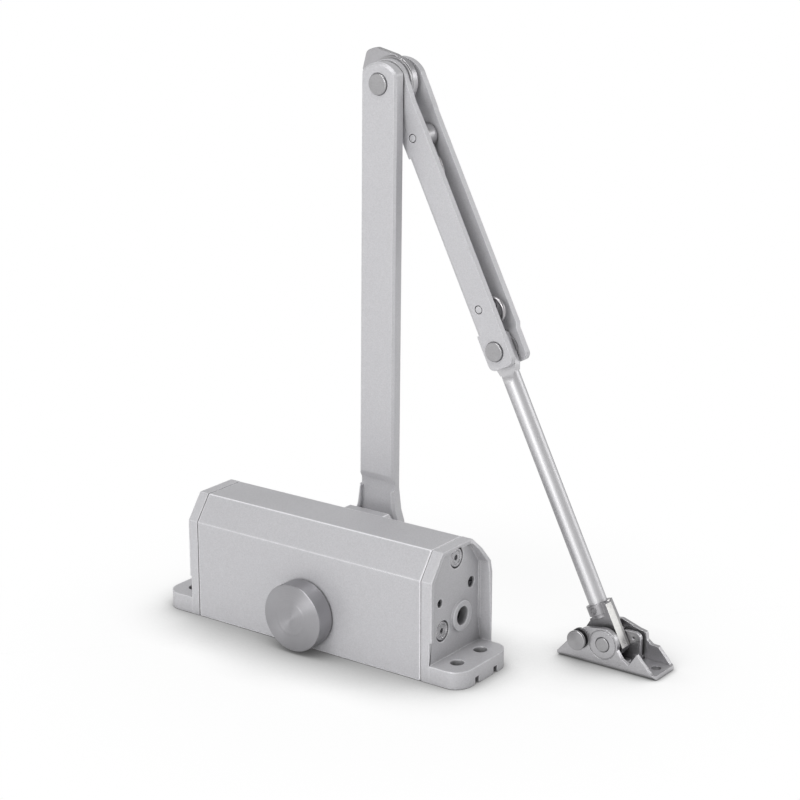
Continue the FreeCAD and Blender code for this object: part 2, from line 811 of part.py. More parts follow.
def pinion_outline():
    """Corners of the toothed wheel about its own axis, one space at the top."""
    base_r = pitch_r * math.cos(math.radians(PRESSURE_ANGLE))
    root_r = pitch_r - DEDENDUM
    tip_r = pitch_r + ADDENDUM
    pitch_roll = math.tan(math.radians(PRESSURE_ANGLE)) - math.radians(PRESSURE_ANGLE)
    half_tooth = (math.pi * MODULE / 2 - TOOTH_BACKLASH) / (2 * pitch_r)
    steps = 4
    flank = []
    for i in range(steps + 1):
        r = base_r + (tip_r - base_r) * i / steps
        angle = math.acos(min(1.0, base_r / r))
        flank.append((r, half_tooth + pitch_roll - (math.tan(angle) - angle)))
    flank.insert(0, (root_r, half_tooth + pitch_roll))
    corners = []
    for tooth in range(TEETH):
        middle = 2 * math.pi * (tooth + 0.5) / TEETH
        for r, spread in flank:
            corners.append((r * math.sin(middle - spread), r * math.cos(middle - spread)))
        for r, spread in reversed(flank):
            corners.append((r * math.sin(middle + spread), r * math.cos(middle + spread)))
    return corners


def pinion_spindle():
    gear = plate_y(pinion_outline(), PINION_FRONT, PINION_FRONT + PINION_FACE)
    gear.translate(spindle_point)
    front_end = FRONT_BEARING[0]
    shaft = rod_y(front_end + 1, REAR_BEARING[0], 0, SPINDLE_Z, SHAFT_R)
    front = rod_y(front_end, FRONT_BEARING[1] + 0.3, 0, SPINDLE_Z, FRONT_JOURNAL_R)
    rear = rod_y(REAR_BEARING[0] - 0.4, ARM_FRONT_Y, 0, SPINDLE_Z, REAR_JOURNAL_R)
    side = SQUARE_DRIVE / 2
    drive = plate_y(
        [(-side, -side), (side, -side), (side, side), (-side, side)],
        ARM_FRONT_Y,
        arm_back,
        [0.8] * 4,
    )
    drive = place(drive, ARM_TILT, spindle_point)
    spindle = fuse(shaft, gear, front, rear, drive)
    return spindle.cut(rod_y(arm_back - ARM_SCREW_LENGTH, arm_back + 1, 0, SPINDLE_Z, ARM_SCREW_R + THREAD_GAP))


def bearing(span, r_in):
    return ring_y(span[0], span[1], 0, SPINDLE_Z, CROSS_BORE_R - SEAL_FIT, r_in + RUNNING)


def seal_retainer():
    return ring_y(rear_face - RETAINER_THICK, rear_face, 0, SPINDLE_Z, CROSS_BORE_R - SEAL_FIT, REAR_JOURNAL_R + 0.3)


def spindle_cap():
    back = -half_width - CAP_GAP
    rim_y = -half_width - CAP_REACH
    drum = rod_y(rim_y, back, 0, SPINDLE_Z, CAP_R)
    drum = drum.makeFillet(0.35, [e for e in drum.Edges if e.BoundBox.YMax < rim_y + 0.1])
    cone = Part.makeCone(CAP_R - 0.35, CAP_CENTRE_R, CAP_CONE, V(0, rim_y, SPINDLE_Z), V(0, -1, 0))
    spigot = rod_y(back - 0.5, -half_width + CAP_SPIGOT_LENGTH, 0, SPINDLE_Z, CAP_SPIGOT_R)
    return fuse(drum, cone, spigot)


def arm_outline():
    """Half outline corners of the main arm about the spindle, up to its shoulder above the elbow."""
    return [
        (ARM_HALF, ARM_LENGTH + ARM_SHOULDER),
        (ARM_HALF, FLARE_TOP),
        (FLARE_MID_HALF, FLARE_MID),
        (FLARE_LOW_HALF, FLARE_LOW),
        (ARM_HUB_R, 0),
    ]


def main_arm():
    right = [V(x, ARM_FRONT_Y, z) for x, z in arm_outline()]
    left = [V(-p.x, p.y, p.z) for p in right]
    edges = [Part.LineSegment(a, b).toShape() for a, b in zip(right, right[1:])]
    edges += [Part.LineSegment(a, b).toShape() for a, b in zip(left, left[1:])]
    edges.append(Part.Arc(left[0], V(0, ARM_FRONT_Y, ARM_LENGTH + ARM_TOP), right[0]).toShape())
    edges.append(Part.Arc(left[-1], V(0, ARM_FRONT_Y, -ARM_HUB_R), right[-1]).toShape())
    wire = Part.Wire(Part.__sortEdges__(edges))
    arm = Part.Face(wire).extrude(V(0, ARM_THICK, 0))
    across = [e for e in arm.Edges if e.BoundBox.YLength > ARM_THICK - 0.1]
    arm = arm.makeFillet(ARM_CORNER_R, [e for e in across if abs(e.BoundBox.ZMin - right[0].z) < 0.1])
    front_edges = [e for e in arm.Edges if e.BoundBox.YMax < ARM_FRONT_Y + 0.01]
    arm = arm.makeChamfer(ARM_BEVEL, front_edges)
    pocket_floor = ARM_FRONT_Y + POCKET_DEPTH
    profile = [
        V(-2 * ARM_HALF, ARM_FRONT_Y - 1, POCKET_BOTTOM),
        V(-2 * ARM_HALF, pocket_floor, POCKET_BOTTOM),
        V(-2 * ARM_HALF, pocket_floor, POCKET_SLOPE_END),
        V(-2 * ARM_HALF, ARM_FRONT_Y, POCKET_TOP),
        V(-2 * ARM_HALF, ARM_FRONT_Y - 1, POCKET_TOP),
    ]
    groove = Part.Face(Part.makePolygon(profile + profile[:1])).extrude(V(4 * ARM_HALF, 0, 0))
    ear = POCKET_EAR
    between = plate_y(
        [
            (ARM_HALF + 1, POCKET_TOP + 1),
            (ARM_HALF + 1, FLARE_TOP),
            (ARM_HALF - ear * 0.4, FLARE_TOP - 1.5),
            (FLARE_MID_HALF - ear, FLARE_MID),
            (FLARE_LOW_HALF - ear, FLARE_LOW),
            (ear - FLARE_LOW_HALF, FLARE_LOW),
            (ear - FLARE_MID_HALF, FLARE_MID),
            (ear * 0.4 - ARM_HALF, FLARE_TOP - 1.5),
            (-ARM_HALF - 1, FLARE_TOP),
            (-ARM_HALF - 1, POCKET_TOP + 1),
        ],
        ARM_FRONT_Y - 2,
        pocket_floor + 1,
    )
    arm = arm.cut(groove.common(between))
    side = SQUARE_DRIVE / 2 + RUNNING
    square = plate_y(
        [(-side, -side), (side, -side), (side, side), (-side, side)],
        ARM_FRONT_Y - 1,
        arm_back + 1,
        [0.8] * 4,
    )
    arm = cut(arm, square, rod_y(ARM_FRONT_Y - 1, arm_back + 1, 0, ARM_LENGTH, ELBOW_PIN_R + RUNNING))
    return on_arm(arm)


def arm_washer():
    return ring_y(arm_back, arm_back + ARM_WASHER_THICK, 0, SPINDLE_Z, ARM_WASHER_R, ARM_SCREW_R + SLIP)


def arm_screw():
    seat = arm_back + ARM_WASHER_THICK
    head = rod_y(seat, seat + ARM_SCREW_HEAD_THICK, 0, SPINDLE_Z, ARM_SCREW_HEAD_R)
    head = head.makeFillet(0.6, [e for e in head.Edges if e.BoundBox.YMin > seat + 1])
    shank = rod_y(arm_back - ARM_SCREW_LENGTH + 1, seat, 0, SPINDLE_Z, ARM_SCREW_R)
    screw = fuse(head, shank)
    corners = [(HEX_R * math.cos(math.radians(60 * i)), HEX_R * math.sin(math.radians(60 * i))) for i in range(6)]
    socket = plate_y(corners, seat + ARM_SCREW_HEAD_THICK - 2.4, seat + ARM_SCREW_HEAD_THICK + 1)
    socket.translate(spindle_point)
    return screw.cut(socket)


def elbow_pin():
    head_y = ARM_FRONT_Y - ELBOW_HEAD_PROUD
    tail_y = far_flange_y + SHEET + STACK_GAP
    head = rod_y(head_y, ARM_FRONT_Y, 0, 0, ELBOW_HEAD_R)
    head = head.makeFillet(0.6, [e for e in head.Edges if e.BoundBox.YMax < head_y + 0.1])
    shank = rod_y(ARM_FRONT_Y, tail_y, 0, 0, ELBOW_PIN_R)
    tail = rod_y(tail_y, tail_y + ELBOW_TAIL_THICK, 0, 0, ELBOW_TAIL_R)
    tail = tail.makeFillet(0.6, [e for e in tail.Edges if e.BoundBox.YMin > tail_y + 1])
    pin = fuse(head, shank, tail)
    pin.translate(elbow_point)
    return pin


def elbow_washers():
    thin = ring_y(thin_washer_y, thin_washer_y + THIN_WASHER, 0, 0, THIN_WASHER_R, ELBOW_PIN_R + RUNNING)
    wide = ring_y(cam_washer_y, cam_washer_y + CAM_WASHER, 0, 0, CAM_WASHER_R, ELBOW_PIN_R + RUNNING)
    washers = Part.makeCompound([thin, wide])
    washers.translate(elbow_point)
    return washers


def cam_plate():
    """The hold-open cam, with its raised lobe towards the upper left."""
    lobe = plate_y(
        [(-18.2, 4.0), (-15.6, 13.4), (-10.6, 15.3), (1.4, 12.6), (9.5, 7.7), (3, -3), (-6.5, -5)],
        cam_y,
        cam_y + CAM_THICK,
        [1.5, 3.5, 4.0, 8.0, 1.0, 0, 2.0],
    )
    disc = rod_y(cam_y, cam_y + CAM_THICK, 0, 0, CAM_R)
    half_disc = disc.common(box(-CAM_R * 0.45, CAM_R, 0, 99, -CAM_R, CAM_R))
    cam = fuse(lobe, half_disc).cut(rod_y(cam_y - 1, cam_y + CAM_THICK + 1, 0, 0, ELBOW_PIN_R + RUNNING))
    cam.translate(elbow_point)
    return cam


def elbow_spacer():
    ring = ring_y(spacer_y, far_flange_y - STACK_GAP, 0, 0, SPACER_R, ELBOW_PIN_R + RUNNING)
    ring.translate(elbow_point)
    return ring


def joggled_flange(y, top, steps):
    """A flange strip that steps sideways on its way down, each step given as start, run and step."""
    front = [(y, top)]
    for start, run, step in steps:
        reach = front[-1][0]
        front += [(reach, -start), (reach + step, -start - run)]
    front.append((front[-1][0], -CHANNEL_END - 1))
    back = [(reach + SHEET, z) for reach, z in reversed(front)]
    return plate_x(front + back, -3 * ELBOW_END_R, 3 * ELBOW_END_R)


def flange_outline(y0, y1, open_side):
    """A flange's outline across the channel, with the corners of its open side from low to high."""
    left, low, top_r = -WEB_ACROSS, -CHANNEL_END, ELBOW_END_R
    corners = [(-top_r, 0), (left, -TAPER_END), (left, low), (open_side[0][0], low), *open_side, (top_r, 0)]
    radii = [0, 0, CHANNEL_CORNER_R, CHANNEL_CORNER_R] + [0] * (len(open_side) + 1)
    return fuse(plate_y(corners, y0, y1, radii), rod_y(y0, y1, 0, 0, top_r))


def forearm_channel():
    top = 2 * ELBOW_END_R
    near = joggled_flange(near_flange_y, top, [(NEAR_JOGGLE_AT, NEAR_JOGGLE_RUN, NEAR_JOGGLE)])
    near_side = [(NEAR_OPEN_ACROSS, -NEAR_JOGGLE_AT - NEAR_JOGGLE_RUN), (NEAR_SHOULDER_ACROSS, -NEAR_JOGGLE_AT)]
    near = near.common(flange_outline(near_flange_y - 1, near_wall_y + SHEET + 1, near_side))
    knee_step = (WEB_END + KNEE_JOGGLE_BELOW, KNEE_JOGGLE_RUN, -KNEE_JOGGLE)
    far = joggled_flange(far_flange_y, top, [(FAR_JOGGLE_AT, FAR_JOGGLE_RUN, FAR_JOGGLE), knee_step])
    far = far.common(flange_outline(far_flange_y - 1, channel_back + 1, [(OPEN_ACROSS, -TAPER_END)]))
    web = box(-WEB_ACROSS, SHEET - WEB_ACROSS, near_wall_y + 1, channel_back - 1, -WEB_END, -WEB_START)
    shape = fuse(near, far, web)
    corner = OUTER_BEND_R
    for y, inward in ((near_wall_y, 1), (channel_back, -1)):
        y0, y1 = sorted((y, y + inward * corner))
        strip = box(-WEB_ACROSS, corner - WEB_ACROSS, y0, y1, -WEB_END, -WEB_START)
        keep = rod_z(-WEB_END - 1, -WEB_START + 1, corner - WEB_ACROSS, y + inward * corner, corner)
        shape = shape.cut(strip.cut(keep))
    holes = [
        rod_y(near_flange_y - 1, channel_back + 1, 0, 0, ELBOW_PIN_R + RUNNING),
        rod_y(near_flange_y - 1, channel_back + 1, 0, -DETENT_AT, RIVET_R + RUNNING),
        rod_y(near_flange_y - 1, channel_back + 1, 0, -ANCHOR_AT, RIVET_R + RUNNING),
        rod_y(near_flange_y - 1, channel_back + 1, 0, -KNEE_AT, KNEE_PIN_R + RUNNING),
    ]
    return on_forearm(cut(shape, *holes))


def forearm_rivets():
    pins = []
    for at in (DETENT_AT, ANCHOR_AT):
        pin = rod_y(near_wall_y - RIVET_PROUD, channel_back + RIVET_PROUD, 0, -at, RIVET_R)
        pins.append(pin.makeFillet(0.3, [e for e in pin.Edges if e.Closed and e.BoundBox.YLength < 0.1]))
    return on_forearm(Part.makeCompound(pins))


def knee_pin():
    front = near_wall_y - KNEE_HEAD_PROUD
    head = rod_y(front, near_wall_y, 0, -KNEE_AT, KNEE_HEAD_R)
    head = head.makeFillet(0.5, [e for e in head.Edges if e.BoundBox.YMax < front + 0.1])
    seat = channel_back - KNEE_JOGGLE
    shank = rod_y(near_wall_y, seat, 0, -KNEE_AT, KNEE_PIN_R)
    tail = rod_y(seat, seat + KNEE_TAIL_PROUD, 0, -KNEE_AT, KNEE_HEAD_R)
    tail = tail.makeFillet(0.4, [e for e in tail.Edges if e.BoundBox.YMin > seat + 0.5])
    return on_forearm(fuse(head, shank, tail))


def rod_head_span():
    return mid_y - ROD_HEAD_THICK / 2, mid_y + ROD_HEAD_THICK / 2


def knee_washers():
    front, back = rod_head_span()
    bore = KNEE_PIN_R + RUNNING
    near = ring_y(near_wall_y + SHEET + STACK_GAP, front - STACK_GAP, 0, -KNEE_AT, KNEE_WASHER_R, bore)
    far_seat = far_wall_y - KNEE_JOGGLE
    far = ring_y(back + STACK_GAP, far_seat - STACK_GAP, 0, -KNEE_AT, KNEE_WASHER_R, bore)
    return on_forearm(Part.makeCompound([near, far]))


def detent_lever():
    y0, y1 = mid_y - DETENT_HALF_THICK, mid_y + DETENT_HALF_THICK
    hub = rod_y(y0, y1, 0, -DETENT_AT, DETENT_HUB_R)
    nose_top = DETENT_NOSE_REACH - DETENT_AT
    nose = plate_y(
        [
            (-DETENT_NOSE_HALF, -DETENT_AT),
            (DETENT_NOSE_HALF + 1, -DETENT_AT),
            (DETENT_NOSE_HALF, nose_top),
            (-DETENT_NOSE_HALF, nose_top),
        ],
        y0,
        y0 + DETENT_TAIL_THICK,
        [0, 0, 1.5, 1.5],
    )
    tail_low = -DETENT_AT - DETENT_TAIL
    half = DETENT_TAIL_HALF
    tail_y0 = mid_y + SPRING_WIRE / 2 + 0.4
    tail = plate_y(
        [
            (POST_ACROSS - half, -DETENT_AT),
            (POST_ACROSS + half, -DETENT_AT),
            (POST_ACROSS + half, tail_low - half),
            (POST_ACROSS - half, tail_low - half),
        ],
        tail_y0,
        tail_y0 + DETENT_TAIL_THICK,
        [0, 0, half * 0.8, half * 0.8],
    )
    post = rod_y(mid_y - SPRING_WIRE / 2 - 0.6, tail_y0 + 0.5, POST_ACROSS, tail_low, POST_R)
    lever = fuse(hub, nose, tail, post)
    return on_forearm(lever.cut(rod_y(y0 - 1, y1 + 1, 0, -DETENT_AT, RIVET_R + RUNNING)))


def extension_spring_path():
    """Hook over the lever's post, close coil, then the large hook over the lower rivet."""
    post_z = -DETENT_AT - DETENT_TAIL
    top_r = TOP_LOOP_R
    lead = math.radians(25)
    post = V(POST_ACROSS, mid_y, post_z)
    top = [
        (post + V(-top_r * math.sin(lead), 0, top_r * math.cos(lead)), V(math.cos(lead), 0, math.sin(lead))),
        (post + V(top_r, 0, 0), V(0, 0, -1)),
    ]
    start = V(SPRING_ACROSS, mid_y, -SPRING_START)
    coil = helix_nodes(start, Z_AXIS * -1, Y_AXIS * -1, SPRING_MEAN_R, SPRING_PITCH, SPRING_TURNS)
    centre = V(LOOP_ACROSS, mid_y, -ANCHOR_AT - LOOP_BELOW)
    turn = math.radians(28)
    low = [
        (centre + V(0, 0, LOOP_R), V(1, 0, 0)),
        (centre + V(LOOP_R, 0, 0), V(0, 0, -1)),
        (centre + V(0, 0, -LOOP_R), V(-1, 0, 0)),
        (
            centre + V(-LOOP_R * math.sin(turn), 0, -LOOP_R * math.cos(turn)),
            V(-math.cos(turn), 0, math.sin(turn)),
        ),
    ]
    return top + coil + low


def least_gap(nodes, wire_r):
    """The least clear distance between parts of the wire that aren't neighbours."""
    points = [nodes[0][0]]
    for (p0, t0), (p1, t1) in zip(nodes, nodes[1:]):
        for edge in biarc(p0, t0, p1, t1):
            run = edge.discretize(9)
            if run[0].distanceToPoint(points[-1]) > run[-1].distanceToPoint(points[-1]):
                run.reverse()
            points += run[1:]
    lengths = [0.0]
    for a, b in zip(points, points[1:]):
        lengths.append(lengths[-1] + a.distanceToPoint(b))
    least = 1e9
    for i, a in enumerate(points):
        for j in range(i + 1, len(points)):
            if lengths[j] - lengths[i] > 8 * wire_r:
                least = min(least, a.distanceToPoint(points[j]) - 2 * wire_r)
    return least


def extension_spring():
    return on_forearm(tube(extension_spring_path(), SPRING_WIRE / 2))


def adjusting_rod():
    front, back = rod_head_span()
    shoulder = -KNEE_AT - ROD_SHOULDER
    slope_end = shoulder - ROD_SHOULDER_RUN
    low = -rod_end
    step = -adaptor_top - ROD_STEP
    stem = rod_z(step, -KNEE_AT, ROD_ACROSS, mid_y, ROD_R)
    stem = stem.makeChamfer(0.6, [e for e in stem.Edges if e.BoundBox.ZMax < step + 0.1])
    stem = fuse(stem, rod_z(low, step, ROD_ACROSS, mid_y, ROD_THREAD_R))
    head_top = -KNEE_AT + ROD_HEAD_TOP
    head_low = -KNEE_AT - ROD_HEAD_LOW
    head = plate_y(
        [
            (-ROD_HEAD_LEFT, head_top),
            (ROD_HEAD_RIGHT, head_top),
            (ROD_HEAD_RIGHT, head_low),
            (ROD_ACROSS + ROD_R, shoulder),
            (ROD_ACROSS - ROD_R, shoulder),
            (-ROD_HEAD_LEFT, head_low),
        ],
        mid_y - ROD_R,
        mid_y + ROD_R,
        [ROD_HEAD_LEFT_R, ROD_HEAD_RIGHT_R, 0, 0, 0, 0],
    )
    top = head_top + 1
    envelope = plate_x(
        [
            (front, top),
            (back, top),
            (back, shoulder),
            (mid_y + ROD_R, slope_end),
            (mid_y + ROD_R, low),
            (mid_y - ROD_R, low),
            (mid_y - ROD_R, slope_end),
            (front, shoulder),
        ],
        -3 * ROD_R,
        3 * ROD_R,
    )
    rod = fuse(stem, head).common(envelope)
    return on_forearm(rod.cut(rod_y(mid_y - 9, mid_y + 9, 0, -KNEE_AT, KNEE_PIN_R + RUNNING)))


def slant_wire(right, back, z, front, depth):
    """What the slant takes off the bar's rear right corner at one height."""
    lean = depth / (back - mid_y - front)
    corners = [
        V(right + lean, mid_y + front - 1, z),
        V(right - depth - lean, back + 1, z),
        V(right + lean, back + 1, z),
    ]
    return Part.makePolygon(corners + corners[:1])


def rod_adaptor():
    top = -adaptor_top
    collar_low = top - COLLAR_LENGTH
    neck_low = collar_low - COLLAR_GROOVE
    pin_z = -shoe_pin_at
    collar = rod_z(collar_low, top, ROD_ACROSS, mid_y, COLLAR_R)
    neck = rod_z(neck_low - 1, collar_low, ROD_ACROSS, mid_y, COLLAR_GROOVE_R)
    right = ROD_ACROSS + BAR_RIGHT
    left = ROD_ACROSS - BAR_LEFT
    rib = ROD_ACROSS + RIB_LEFT
    tip = pin_z - BAR_TIP
    y0, y1 = mid_y - BAR_FRONT, mid_y + BAR_BACK
    bar = plate_y(
        [(left, neck_low), (rib, neck_low), (rib, top), (right, top), (right, tip), (left, tip)],
        y0,
        y1,
        [0, 0, 0, 1.5, 1.5, 2.0],
    )
    thick_low = pin_z + BAR_THICK_ABOVE
    thin_back = box(-99, 99, mid_y + BAR_LOW_BACK, y1 + 1, tip - 9, thick_low)
    eye = rod_y(y0, y1, ROD_ACROSS, pin_z, ADAPTOR_EYE_R).common(
        box(ROD_ACROSS - ADAPTOR_EYE_R, right, y0, y1, pin_z - ADAPTOR_EYE_R, pin_z + ADAPTOR_EYE_R)
    )
    bulge_left = ROD_ACROSS - ADAPTOR_BULGE
    bulge = plate_y(
        [
            (left, neck_low),
            (left, pin_z + ADAPTOR_BULGE_ABOVE + ADAPTOR_BULGE_RUN),
            (bulge_left, pin_z + ADAPTOR_BULGE_ABOVE),
            (ROD_ACROSS - ADAPTOR_EYE_R, pin_z),
            (left + 2, pin_z),
            (left + 2, neck_low),
        ],
        y0,
        y1,
    )
    shape = fuse(collar, neck, bar, eye, bulge)
    slant = Part.makeLoft(
        [
            slant_wire(right, y1, tip - 1, SLANT_FRONT_LOW, SLANT_CUT_LOW),
            slant_wire(right, y1, top + 1, SLANT_FRONT_TOP, SLANT_CUT_TOP),
        ],
        True,
        True,
    )
    bore_low = -rod_end - ROD_SLIDE - SEAT_GAP
    bore = rod_z(bore_low, top + 1, ROD_ACROSS, mid_y, ROD_THREAD_R + RUNNING)
    step_low = top - ROD_STEP - ROD_SLIDE - SEAT_GAP
    counterbore = rod_z(step_low, top + 1, ROD_ACROSS, mid_y, ROD_R + RUNNING)
    pin_hole = rod_y(y0 - 1, y1 + 1, ROD_ACROSS, pin_z, SHOE_PIN_R + RUNNING)
    screw_hole = rod_y(mid_y - COLLAR_R - 1, mid_y, ROD_ACROSS, set_screw_z(), SET_SCREW_R + THREAD_GAP)
    return on_forearm(cut(shape, slant, thin_back, bore, counterbore, pin_hole, screw_hole))


def set_screw_z():
    return -adaptor_top - COLLAR_LENGTH / 2


def set_screw():
    screw = rod_y(mid_y - COLLAR_R + 0.15, mid_y - ROD_R - 0.1, ROD_ACROSS, set_screw_z(), SET_SCREW_R)
    return on_forearm(screw)


def shoe_wall_near(y0, y1):
    """The near wall's outline: a long ramp, a round top over the pin, a notch and a point."""
    pin = SHOE_PIN_Z
    ramp = [
        V(-SHOE_LEFT, y0, 0),
        V(-SHOE_LEFT, y0, SHOE_SHEET),
        V(-SHOE_LEFT + 12, y0, pin + 4.6),
        V(-9.8, y0, pin + 6.5),
        V(-1.4, y0, pin + 7.98),
    ]
    notch = [
        V(7.9, y0, pin - 1.2),
        V(10.7, y0, pin - 5.1),
        V(14.5, y0, pin - 6.9),
        V(18.5, y0, pin - 0.8),
        V(SHOE_RIGHT - 3.9, y0, 3.2),
        V(SHOE_RIGHT, y0, 0),
    ]
    edges = [Part.LineSegment(a, b).toShape() for a, b in zip(ramp, ramp[1:])]
    over = math.radians(40)
    crown = V(SHOE_ARC_R * math.sin(over), y0, pin + SHOE_ARC_R * math.cos(over))
    edges.append(Part.Arc(ramp[-1], crown, notch[0]).toShape())
    edges += [Part.LineSegment(a, b).toShape() for a, b in zip(notch, notch[1:])]
    edges.append(Part.LineSegment(notch[-1], ramp[0]).toShape())
    return Part.Face(Part.Wire(Part.__sortEdges__(edges))).extrude(V(0, y1 - y0, 0))


def shoe_wall_far(y0, y1):
    pin = SHOE_PIN_Z
    return plate_y(
        [
            (-SHOE_LEFT, 0),
            (-SHOE_LEFT, SHOE_SHEET),
            (-SHOE_LEFT + 12, pin + 4.6),
            (-9.8, pin + 6.5),
            (0.8, pin + 8.3),
            (10.3, pin + 5.2),
            (14.3, pin + 4.4),
            (14.8, pin + 0.7),
            (17.4, pin - 1.3),
            (20.9, pin - 1.5),
            (SHOE_RIGHT - 1.3, 1.9),
            (SHOE_RIGHT, 0),
        ],
        y0,
        y1,
        [0, 0, 4, 3, 3, 1, 1.2, 1.2, 1.2, 1, 0, 0],
    )


def shoe_bracket():
    base = plate_z(
        [
            (-SHOE_LEFT, shoe_front),
            (SHOE_RIGHT, shoe_front),
            (SHOE_RIGHT, shoe_back),
            (-SHOE_LEFT, shoe_back),
        ],
        0,
        SHOE_SHEET,
        [3.0, 2.5, 2.5, 3.0],
    )
    near = shoe_wall_near(shoe_front, shoe_front + SHOE_SHEET)
    far = shoe_wall_far(shoe_back - SHOE_SHEET, shoe_back)
    shape = fuse(base, near, far)
    bend = SHOE_BEND_R
    for y, inward in ((shoe_front, 1), (shoe_back, -1)):
        y0, y1 = sorted((y, y + inward * bend))
        strip = box(-SHOE_LEFT - 1, SHOE_RIGHT + 1, y0, y1, 0, bend)
        keep = rod_x(-SHOE_LEFT - 2, SHOE_RIGHT + 2, y + inward * bend, bend, bend)
        shape = shape.cut(strip.cut(keep))
    front = shoe_front
    pin = SHOE_PIN_Z
    groove = ring_y(front - 1, front + EMBOSS_DEPTH, 0, pin, EMBOSS_R, EMBOSS_R - EMBOSS_WIDTH)
    shape = cut(
        shape,
        groove,
        rod_y(front - 1, front + SHOE_SHEET + 0.1, 0, pin, SHOE_HEAD_R + SEAT_GAP),
        rod_y(shoe_back - SHOE_SHEET - 0.1, shoe_back + 1, 0, pin, SHOE_PIN_R + RUNNING),
        rod_y(front - 1, front + SHOE_SHEET + 0.1, -KNOB_BACK, pin, KNOB_HOLE_R),
        rod_z(-1, SHOE_SHEET + 1, SHOE_HOLE_RIGHT, mid_y, SHOE_HOLE_R),
        rod_z(-1, SHOE_SHEET + 1, -SHOE_HOLE_LEFT, mid_y, SHOE_HOLE_R),
    )
    shape.translate(V(shoe_x, 0, 0))
    return shape


def shoe_pin():
    pin = SHOE_PIN_Z
    front = shoe_front - SHOE_HEAD_PROUD
    wall_in = shoe_front + SHOE_SHEET
    head = rod_y(front, wall_in, shoe_x, pin, SHOE_HEAD_R)
    head = head.makeFillet(0.5, [e for e in head.Edges if e.BoundBox.YMax < front + 0.1])
    shank = rod_y(wall_in - 0.5, shoe_back + 0.3, shoe_x, pin, SHOE_PIN_R)
    return fuse(head, shank)


def shoe_washers():
    pin = SHOE_PIN_Z
    near_y = shoe_front + SHOE_SHEET + STACK_GAP
    far_y = shoe_back - SHOE_SHEET - STACK_GAP
    near = ring_y(near_y, near_y + SHOE_WASHER_THICK, shoe_x, pin, SHOE_WASHER_R, SHOE_PIN_R + RUNNING)
    far_start = mid_y + BAR_LOW_BACK + SEAT_GAP
    far = ring_y(far_start, far_y, shoe_x, pin, SHOE_PIN_R + 2.0, SHOE_PIN_R + RUNNING)
    far = far.cut(box(shoe_x + STOP_PLATE_LEFT - 0.4, shoe_x + 20, far_start - 1, far_y + 1, 0, STOP_PLATE_TOP + 1))
    return Part.makeCompound([near, far])


def stop_plate():
    y1 = shoe_back - SHOE_SHEET - STOP_PLATE_FROM_WALL
    y0 = y1 - STOP_PLATE_THICK
    left, right = STOP_PLATE_LEFT, STOP_PLATE_RIGHT
    plate = plate_y(
        [
            (left, SHOE_SHEET),
            (right, SHOE_SHEET),
            (right, STOP_PLATE_TOP),
            (left, STOP_PLATE_TOP),
        ],
        y0,
        y1,
        [0, 0, 3.0, 2.0],
    )
    foot = box(left + 4, right, y0, shoe_back - SHOE_SHEET, SHOE_SHEET, SHOE_SHEET + 1.6)
    hole = rod_y(y0 - 1, y1 + 1, right - 3.9, STOP_PLATE_TOP - 3.0, STOP_PLATE_HOLE_R)
    plate = cut(fuse(plate, foot), hole, rod_y(y0 - 1, y1 + 1, 0, SHOE_PIN_Z, SHOE_PIN_R + 0.5))
    plate.translate(V(shoe_x, 0, 0))
    return plate


def floor_rivet():
    z1 = SHOE_SHEET + FLOOR_RIVET_THICK
    rivet = rod_z(SHOE_SHEET, z1, shoe_x + FLOOR_RIVET_RIGHT, mid_y - 1.5, FLOOR_RIVET_R)
    return rivet.makeFillet(0.5, [e for e in rivet.Edges if e.BoundBox.ZMin > z1 - 0.1])


def shoe_knob():
    face = shoe_front - KNOB_PROUD
    disc = rod_y(face, face + KNOB_THICK, shoe_x - KNOB_BACK, SHOE_PIN_Z, KNOB_R)
    disc = disc.makeFillet(0.4, [e for e in disc.Edges if e.BoundBox.YMax < face + 0.1])
    return fuse(disc, rod_y(face + KNOB_THICK, face + KNOB_LENGTH, shoe_x - KNOB_BACK, SHOE_PIN_Z, KNOB_STEM_R))


def knob_bush():
    inner = shoe_front + SHOE_SHEET
    return ring_y(
        inner - KNOB_BUSH_LENGTH,
        inner,
        shoe_x - KNOB_BACK,
        SHOE_PIN_Z,
        KNOB_HOLE_R - SEAL_FIT,
        KNOB_STEM_R + RUNNING,
    )


